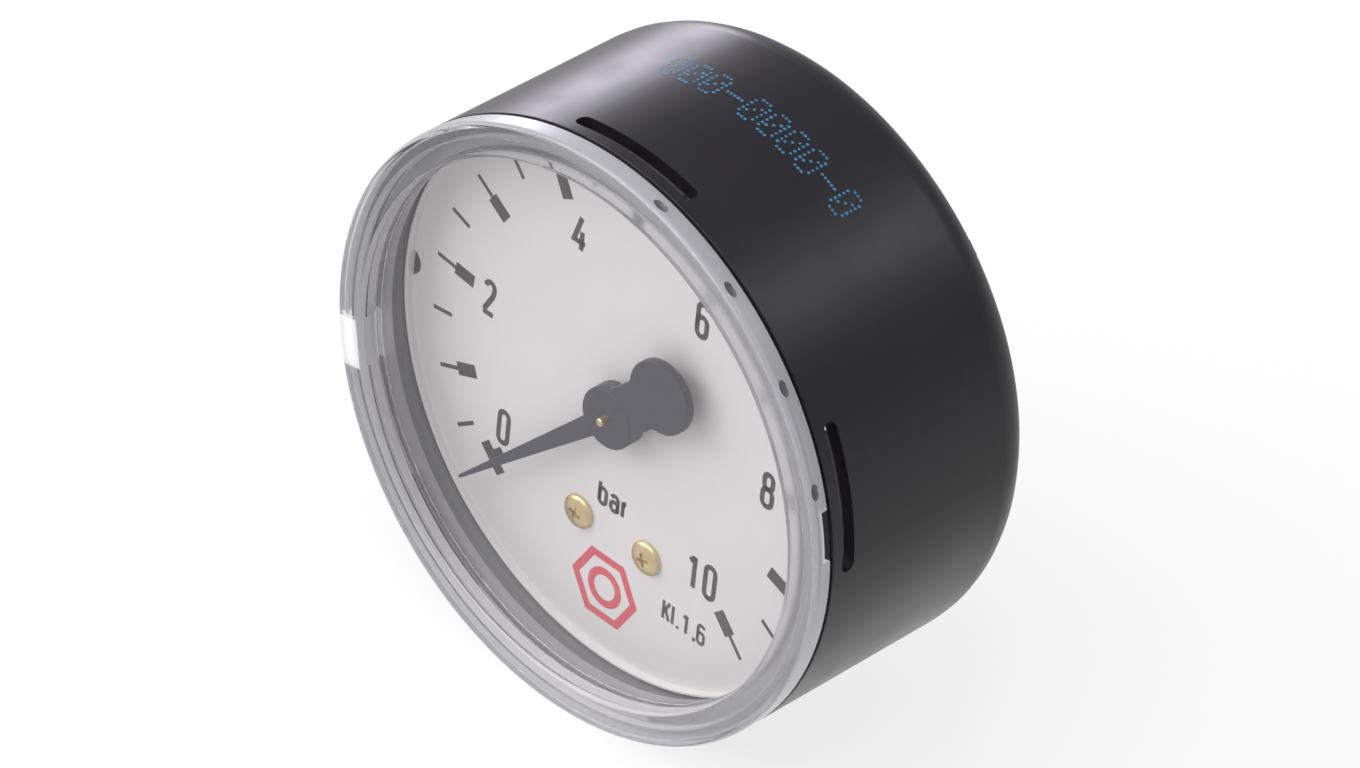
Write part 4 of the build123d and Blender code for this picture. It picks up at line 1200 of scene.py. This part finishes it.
class GAUGE_OT_pointer(GaugeOperator, bpy.types.Operator):
    """Moulded pointer with its hub and round counterweight"""

    bl_idname = "gauge.pointer"
    bl_label = "Pointer"

    def execute(self, context):
        s = context.scene.gauge_pointer
        hub_back = POINTER_BACK
        hub_front = hub_back - s.hub_height
        blade_back = hub_back - s.hub_back
        half_neck = s.neck / 2
        height = half_neck + s.fillet
        near_hub = -math.sqrt((s.hub + s.fillet) ** 2 - height**2)
        near_disc = -s.disc_reach + math.sqrt((s.disc + s.fillet) ** 2 - height**2)
        hub_end = math.degrees(math.atan2(height, near_hub))
        disc_start = math.degrees(math.atan2(height, near_disc + s.disc_reach))
        upper = arc(0, 0, s.hub, s.hub, 0, hub_end, 24)
        upper += arc(near_hub, height, s.fillet, s.fillet, hub_end - 180, -90, 6)
        upper += arc(near_disc, height, s.fillet, s.fillet, -90, disc_start - 180, 6)
        upper += arc(-s.disc_reach, 0, s.disc, s.disc, disc_start, 180, 32)
        lower = [(x, -y) for x, y in reversed(upper[1:-1])]
        turn = Matrix.Rotation(math.radians(s.angle), 4, "Z")
        pointer = plate("pointer", [upper + lower], blade_back, blade_back - s.tail, 0.12 * MM, turn)
        foot, shoulder = -1.0 * MM, s.reach - s.tip
        blade = [(foot, -s.root / 2), (shoulder, -s.tip / 2), (s.reach, 0)]
        blade += [(shoulder, s.tip / 2), (foot, s.root / 2)]
        blade = plate("blade", [blade], blade_back, blade_back - s.blade, 0.08 * MM, turn)
        ring = [
            (s.bore, hub_back, 0),
            (s.hub, hub_back, 0.1 * MM),
            (s.hub, hub_front, 0.25 * MM),
            (s.bore + 0.5 * MM, hub_front, 0.05 * MM),
            (s.bore, hub_front + 0.35 * MM, 0),
        ]
        ring = rounded(ring, 5)
        hub = lathe("hub", ring, 72, True)
        combine(pointer, [blade, hub], "UNION")
        bore = plate("bore", [circle(0, 0, s.bore, 40)], hub_back + MM, hub_front - MM)
        combine(pointer, [bore], "DIFFERENCE")
        plastic = moulded_plastic("pbt_moulded_black", s.plastic, 0.42, 0.25 * MM, 0.008 * MM)
        finish_piece(pointer, "pointer_blade", plastic, "pointer_shaft", ["pointer"], flat=True)
        return {"FINISHED"}


def cross_recess(reach, width, depth, top, taper=0.72, over=0.3 * MM):
    """Two crossing wedges that cut a cross recess into a head whose top is at depth top."""
    made = []
    for a, b in ((reach, width), (width, reach)):
        points = []
        for share, y in ((1.0, top - over), (taper, top + depth)):
            corners = ((-1, -1), (1, -1), (1, 1), (-1, 1))
            points += [(sx * a / 2 * share, y, sz * b / 2 * share) for sx, sz in corners]
        faces = [(0, 1, 2, 3), (7, 6, 5, 4)]
        faces += [(i, i + 4, (i + 1) % 4 + 4, (i + 1) % 4) for i in range(4)]
        made.append(solid("wedge", points, faces))
    return made


class GAUGE_OT_dial_screws(GaugeOperator, bpy.types.Operator):
    """Brass pan head screws with cross recess that hold the dial"""

    bl_idname = "gauge.dial_screws"
    bl_label = "Dial Screws"

    def execute(self, context):
        s = context.scene.gauge_dial
        radius, height = s.screw_head, s.screw_height
        length = SCREWS_BACK - dial_face(s)
        shank, rim = 0.8 * MM, 0.25 * MM
        profile = [(0, length), (shank - 0.15 * MM, length), (shank, length - 0.2 * MM), (shank, 0)]
        profile += [(radius - 0.1 * MM, 0), (radius, -0.08 * MM)]
        profile += arc(0, -rim, radius, rim - height, 0, 90, 10)
        head = lathe("head", profile, 48)
        combine(head, cross_recess(0.95 * radius, 0.24 * radius, 0.6 * height, -height), "DIFFERENCE")
        place = math.hypot(s.screw_x, s.screw_drop)
        half = math.degrees(math.atan2(s.screw_x, s.screw_drop))
        brass = metal("brass_turned")
        made = round_axis("screws", head, 2, -90 - half, 2 * half, place, dial_face(s), brass)
        finish_piece(made, "dial_screws_brass", brass, "housing", ["dial_screws"])
        return {"FINISHED"}


class GAUGE_OT_case_screws(GaugeOperator, bpy.types.Operator):
    """Zinc plated countersunk screws that hold the case to the stem"""

    bl_idname = "gauge.case_screws"
    bl_label = "Case Screws"

    def execute(self, context):
        s = context.scene.gauge_stem
        low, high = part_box("case_screws")
        radius, shank = s.screw_head, 1.5 * MM
        length = high.y - low.y
        cone_end = (shank, -(radius - shank), 0.1 * MM)
        profile = [(0, 0, 0), (radius, 0, 0.08 * MM), cone_end, (shank, -length, 0.1 * MM), (0, -length, 0)]
        profile = rounded(profile, 3)
        head = lathe("head", profile, 48)
        wedges = cross_recess(1.1 * radius, 0.22 * radius, 1.2 * MM, 0)
        for wedge in wedges:
            wedge.data.transform(Matrix.Rotation(math.pi, 4, "X"))
        combine(head, wedges, "DIFFERENCE")
        steel = metal("steel_zinc_plated")
        step = 360 / s.screw_count
        made = round_axis("screws", head, s.screw_count, 90, step, s.screw_circle, high.y, steel)
        finish_piece(made, "case_screws_zinc", steel, "housing", ["case_screws"])
        return {"FINISHED"}


class GAUGE_OT_stem(GaugeOperator, bpy.types.Operator):
    """Brass stem with its real screw thread, wrench flats, flange and tube block"""

    bl_idname = "gauge.stem"
    bl_label = "Stem"

    def execute(self, context):
        s = context.scene.gauge_stem
        case = context.scene.gauge_case
        back = -s.square_length
        floor = back - case.floor
        flange_front = floor - s.flange_depth
        block_front = STEM_LOW.y
        root = s.thread_radius - s.depth
        half_angle, root_half = 27.5, 0.11 * MM
        flank = s.depth * math.tan(math.radians(half_angle))
        crest_half = s.pitch / 2 - flank - root_half

        def thread(angle, y):
            """The thread's radius at an angle and a depth, right-handed."""
            if y < s.relief:
                return root
            shift = (y - s.relief) / s.pitch - angle / 360
            off = abs(shift - round(shift)) * s.pitch
            cut = max(0.0, min(1.0, (off - crest_half) / flank))
            start = max(0.0, min(1.0, (y - s.relief) / (0.35 * s.pitch)))
            chamfer = max(0.0, y - (s.thread_length - s.depth))
            return max(root, min(s.thread_radius - s.depth * max(cut, 1 - start), s.thread_radius - chamfer))

        def square(angle, edge):
            """The wrench square's radius at an angle, with its corners turned."""
            off = math.radians((angle + 45) % 90 - 45)
            return min(s.turned, s.square / 2 / math.cos(off)) - edge

        thread_steps = 200
        depths = [s.thread_length * i / thread_steps for i in range(thread_steps + 1)]
        corner = math.degrees(math.acos(s.square / 2 / s.turned))
        stations = {3.75 * i for i in range(96)}
        for quarter in range(4):
            for side in (-1, 1):
                stations.add(round((90 * quarter + side * corner) % 360, 4))
        stations = sorted(stations)
        edge = 0.35 * MM

        def profile(angle):
            wrench = [(square(angle, 0), back), (square(angle, 0), -edge), (square(angle, edge), 0)]
            flange = [(s.flange, flange_front), (s.flange, floor), (s.spigot, floor), (s.spigot, back)]
            screw = [(thread(angle, y), y) for y in depths]
            end = s.thread_length
            tip = [(s.pilot, end), (s.pilot, STEM_HIGH.y - 0.3 * MM), (s.pilot - 0.3 * MM, STEM_HIGH.y)]
            bore = [(s.inlet + 0.2 * MM, STEM_HIGH.y), (s.inlet, STEM_HIGH.y - 0.2 * MM)]
            bore += [(s.inlet, STEM_HIGH.y - s.inlet_depth), (0, STEM_HIGH.y - s.inlet_depth)]
            return [(0, flange_front)] + flange + wrench + [(root, 0)] + screw[1:] + tip + bore

        stem = solid("stem", *turned(stations, profile, False))
        half, low, high, radius = s.block_width / 2, STEM_LOW.z, 6.0 * MM, 1.2 * MM
        corners = [(-half, low, radius), (half, low, radius), (half, high, radius), (-half, high, radius)]
        block = plate("block", [rounded(corners, 5)], floor - 1 * MM, block_front, 0.1 * MM)
        combine(stem, [block], "UNION")
        finish_piece(stem, "stem_forged", metal("brass_forged"), "housing", ["stem"])
        return {"FINISHED"}


class GAUGE_OT_tube(GaugeOperator, bpy.types.Operator):
    """Flattened Bourdon tube that bends between the stem's block and its tip"""

    bl_idname = "gauge.tube"
    bl_label = "Bourdon Tube"

    def execute(self, context):
        height, width = TUBE_HIGH.y - TUBE_LOW.y, 2.4 * MM
        middle = (TUBE_HIGH.y + TUBE_LOW.y) / 2
        radius = TUBE_HIGH.z - width / 2
        straight = (height - width) / 2
        section = arc(0, straight, width / 2, width / 2, 0, 180, 10)
        section += arc(0, -straight, width / 2, width / 2, 180, 360, 10)
        count = len(section)
        root_angle, sweep, steps = 262, 282, 140
        angles = [root_angle - sweep * i / steps for i in range(steps + 1)]
        points = [polar(radius + x, angle, middle + y) for angle in angles for x, y in section]
        faces = []
        for i in range(len(angles) - 1):
            for k in range(count):
                m = (k + 1) % count
                faces.append((i * count + k, i * count + m, (i + 1) * count + m, (i + 1) * count + k))
        faces += [tuple(range(count)), tuple(range(len(points) - 1, len(points) - count - 1, -1))]
        made = solid("tube", points, faces)
        made.name = made.data.name = "bourdon_tube_drawn"
        made.data.materials.append(metal("phosphor_bronze_drawn"))
        made.data.shade_smooth()
        made.data.set_sharp_from_angle(angle=math.radians(40))
        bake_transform(made)
        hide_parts("bourdon_tube")
        return {"FINISHED"}


class GAUGE_OT_finishes(GaugeOperator, bpy.types.Operator):
    """Metal finishes of the movement's pieces, whose shapes come from the CAD model"""

    bl_idname = "gauge.finishes"
    bl_label = "Movement Finishes"

    def execute(self, context):
        for name, nodes in CAD_FINISHES.items():
            for node in nodes:
                mesh = NODES[node].data
                mesh.materials.clear()
                mesh.materials.append(metal(name))
        return {"FINISHED"}


def paper_matt_white(hex_colour):
    """Matt paper that takes shadows near the gauge and is plain white further away."""
    paper = new_material("paper_matt_white")
    tree = paper.node_tree
    path = add(tree, "ShaderNodeLightPath").outputs
    rays = {0: path["Is Glossy Ray"], 1: path["Is Transmission Ray"]}
    seen = add(tree, "ShaderNodeMath", rays, operation="MAXIMUM")
    place = add(tree, "ShaderNodeTexCoord").outputs["Object"]
    away = add(tree, "ShaderNodeVectorMath", {0: place}, operation="LENGTH").outputs["Value"]
    near = {0: away, "From Min": 0.2, "From Max": 0.6, "To Min": 0.8, "To Max": 1.0}
    glow = add(tree, "ShaderNodeMapRange", near)
    shares = {0: path["Is Camera Ray"], 1: glow, 2: seen}
    share = add(tree, "ShaderNodeMath", shares, operation="MULTIPLY_ADD", use_clamp=True)
    # glossy pieces mirror the paper white under the gauge and greyer away from it
    under = {0: away, "From Min": 0.035, "From Max": 0.06, "To Min": 1.0, "To Max": 0.6}
    mirrored = add(tree, "ShaderNodeMapRange", under)
    turns = add(tree, "ShaderNodeMath", {0: path["Glossy Depth"], 1: 1.0}, operation="MINIMUM")
    strength = layered(tree, "FLOAT", 1.0, (turns, mirrored))
    matt = add(tree, "ShaderNodeBsdfPrincipled", {"Base Color": linear(hex_colour), "Roughness": 0.9})
    white = add(tree, "ShaderNodeEmission", {"Color": (1, 1, 1, 1), "Strength": strength})
    mixed = add(tree, "ShaderNodeMixShader", {0: share, 1: matt, 2: white})
    add(tree, "ShaderNodeOutputMaterial", {0: mixed})
    return paper


def studio_world():
    """White to the camera and straight through the window, a soft grey once a ray has been mirrored."""
    world = bpy.data.worlds.new("studio")
    world.use_nodes = True
    tree = world.node_tree
    tree.nodes.clear()
    path = add(tree, "ShaderNodeLightPath").outputs
    dimming = {"Value": path["Glossy Depth"], "To Min": 1.0, "To Max": 0.55}
    through = {0: path["Is Transmission Ray"], 1: add(tree, "ShaderNodeMapRange", dimming)}
    through = add(tree, "ShaderNodeMath", through, operation="MULTIPLY")
    seen = add(tree, "ShaderNodeMath", {0: path["Is Camera Ray"], 1: through}, operation="MAXIMUM")
    tint = layered(tree, "RGBA", (0.34, 0.34, 0.355, 1), (seen, (1, 1, 1, 1)))
    sky = add(tree, "ShaderNodeBackground", {"Strength": 1.0, "Color": tint})
    add(tree, "ShaderNodeOutputWorld", {0: sky})
    return world


# Each lamp's name, place and size in metres, power in watts and tint.
LAMPS = (
    ("lamp_top", (-0.25, -0.45, 0.75), 1.25, 10.6, "#ffffff"),
    ("lamp_left", (-0.75, -0.5, 0.3), 0.9, 4.6, "#ffffff"),
    ("lamp_rear", (-0.85, 0.65, 0.11), 0.26, 1.75, "#f6f2ff"),
    ("lamp_back", (0.4, 0.55, 0.6), 0.3, 0.5, "#ffffff"),
)
AIM = Vector((0, -29.8 * MM, 0))  # the middle of the dial, which the camera and the lamps look at
FLOOR_REACH = 20.0  # from the middle of the floor to its sides


class GAUGE_OT_stage(GaugeOperator, bpy.types.Operator):
    """Camera, floor, world and soft lamps"""

    bl_idname = "gauge.stage"
    bl_label = "Stage"

    def execute(self, context):
        s = context.scene.gauge_stage
        scene = context.scene
        azimuth, elevation, roll = (math.radians(v) for v in (s.azimuth, s.elevation, s.roll))
        level = math.cos(elevation)
        back = Vector((math.sin(azimuth) * level, -math.cos(azimuth) * level, math.sin(elevation)))
        right = (-back).cross(Vector((0, 0, 1))).normalized()
        up = right.cross(-back)
        across = math.cos(roll) * right + math.sin(roll) * up
        upward = math.cos(roll) * up - math.sin(roll) * right
        camera = bpy.data.objects.new("camera", bpy.data.cameras.new("camera"))
        scene.collection.objects.link(camera)
        place = AIM + back * s.distance + across * s.shift_right + upward * s.shift_up
        camera.matrix_world = Matrix.Translation(place) @ Matrix((across, upward, back)).transposed().to_4x4()
        camera.data.lens = s.lens
        camera.data.sensor_width = 36.0
        camera.data.clip_start, camera.data.clip_end = 0.01, 100.0
        scene.camera = camera

        corners = [(x * FLOOR_REACH, y * FLOOR_REACH, 0) for x, y in ((-1, -1), (1, -1), (1, 1), (-1, 1))]
        floor = solid("floor", corners, [(0, 1, 2, 3)])
        floor.location.z = CAD_BOX[0][2]
        floor.data.materials.append(paper_matt_white(s.floor))
        scene.world = studio_world()
        for name, place, size, power, tint in LAMPS:
            lamp = bpy.data.lights.new(name, "AREA")
            lamp.color = linear(tint)[:3]
            lamp.energy = power
            lamp.size = size
            made = bpy.data.objects.new(name, lamp)
            scene.collection.objects.link(made)
            made.location = place
            made.rotation_euler = (AIM - made.location).to_track_quat("-Z", "Y").to_euler()
        scene.view_settings.view_transform = "Standard"
        return {"FINISHED"}


OPERATORS = (
    GAUGE_OT_finishes,
    GAUGE_OT_stem,
    GAUGE_OT_tube,
    GAUGE_OT_case,
    GAUGE_OT_case_print,
    GAUGE_OT_case_screws,
    GAUGE_OT_dial,
    GAUGE_OT_scale,
    GAUGE_OT_lettering,
    GAUGE_OT_sign,
    GAUGE_OT_dial_screws,
    GAUGE_OT_pointer,
    GAUGE_OT_window,
    GAUGE_OT_stage,
)


class GAUGE_PT_sidebar(bpy.types.Panel):
    """Lists the gauge's pieces and their sizes"""

    bl_idname = "GAUGE_PT_sidebar"
    bl_label = "Pressure Gauge"
    bl_space_type = "VIEW_3D"
    bl_region_type = "UI"
    bl_category = "Gauge"

    def draw(self, context):
        for operator in OPERATORS:
            self.layout.operator(operator.bl_idname)
        for name, group in SETTINGS.items():
            box = self.layout.box()
            box.label(text=group.__doc__)
            for key in group.__annotations__:
                box.prop(getattr(context.scene, name), key)


CLASSES = (*SETTINGS.values(), *OPERATORS, GAUGE_PT_sidebar)


def register():
    for item in CLASSES:
        bpy.utils.register_class(item)
    for name, group in SETTINGS.items():
        setattr(bpy.types.Scene, name, bpy.props.PointerProperty(type=group))


def unregister():
    for name in SETTINGS:
        delattr(bpy.types.Scene, name)
    for item in reversed(CLASSES):
        bpy.utils.unregister_class(item)


def main():
    register()
    for operator in OPERATORS:
        group, name = operator.bl_idname.split(".")
        getattr(getattr(bpy.ops, group), name)()


if __name__ == "__main__":
    main()
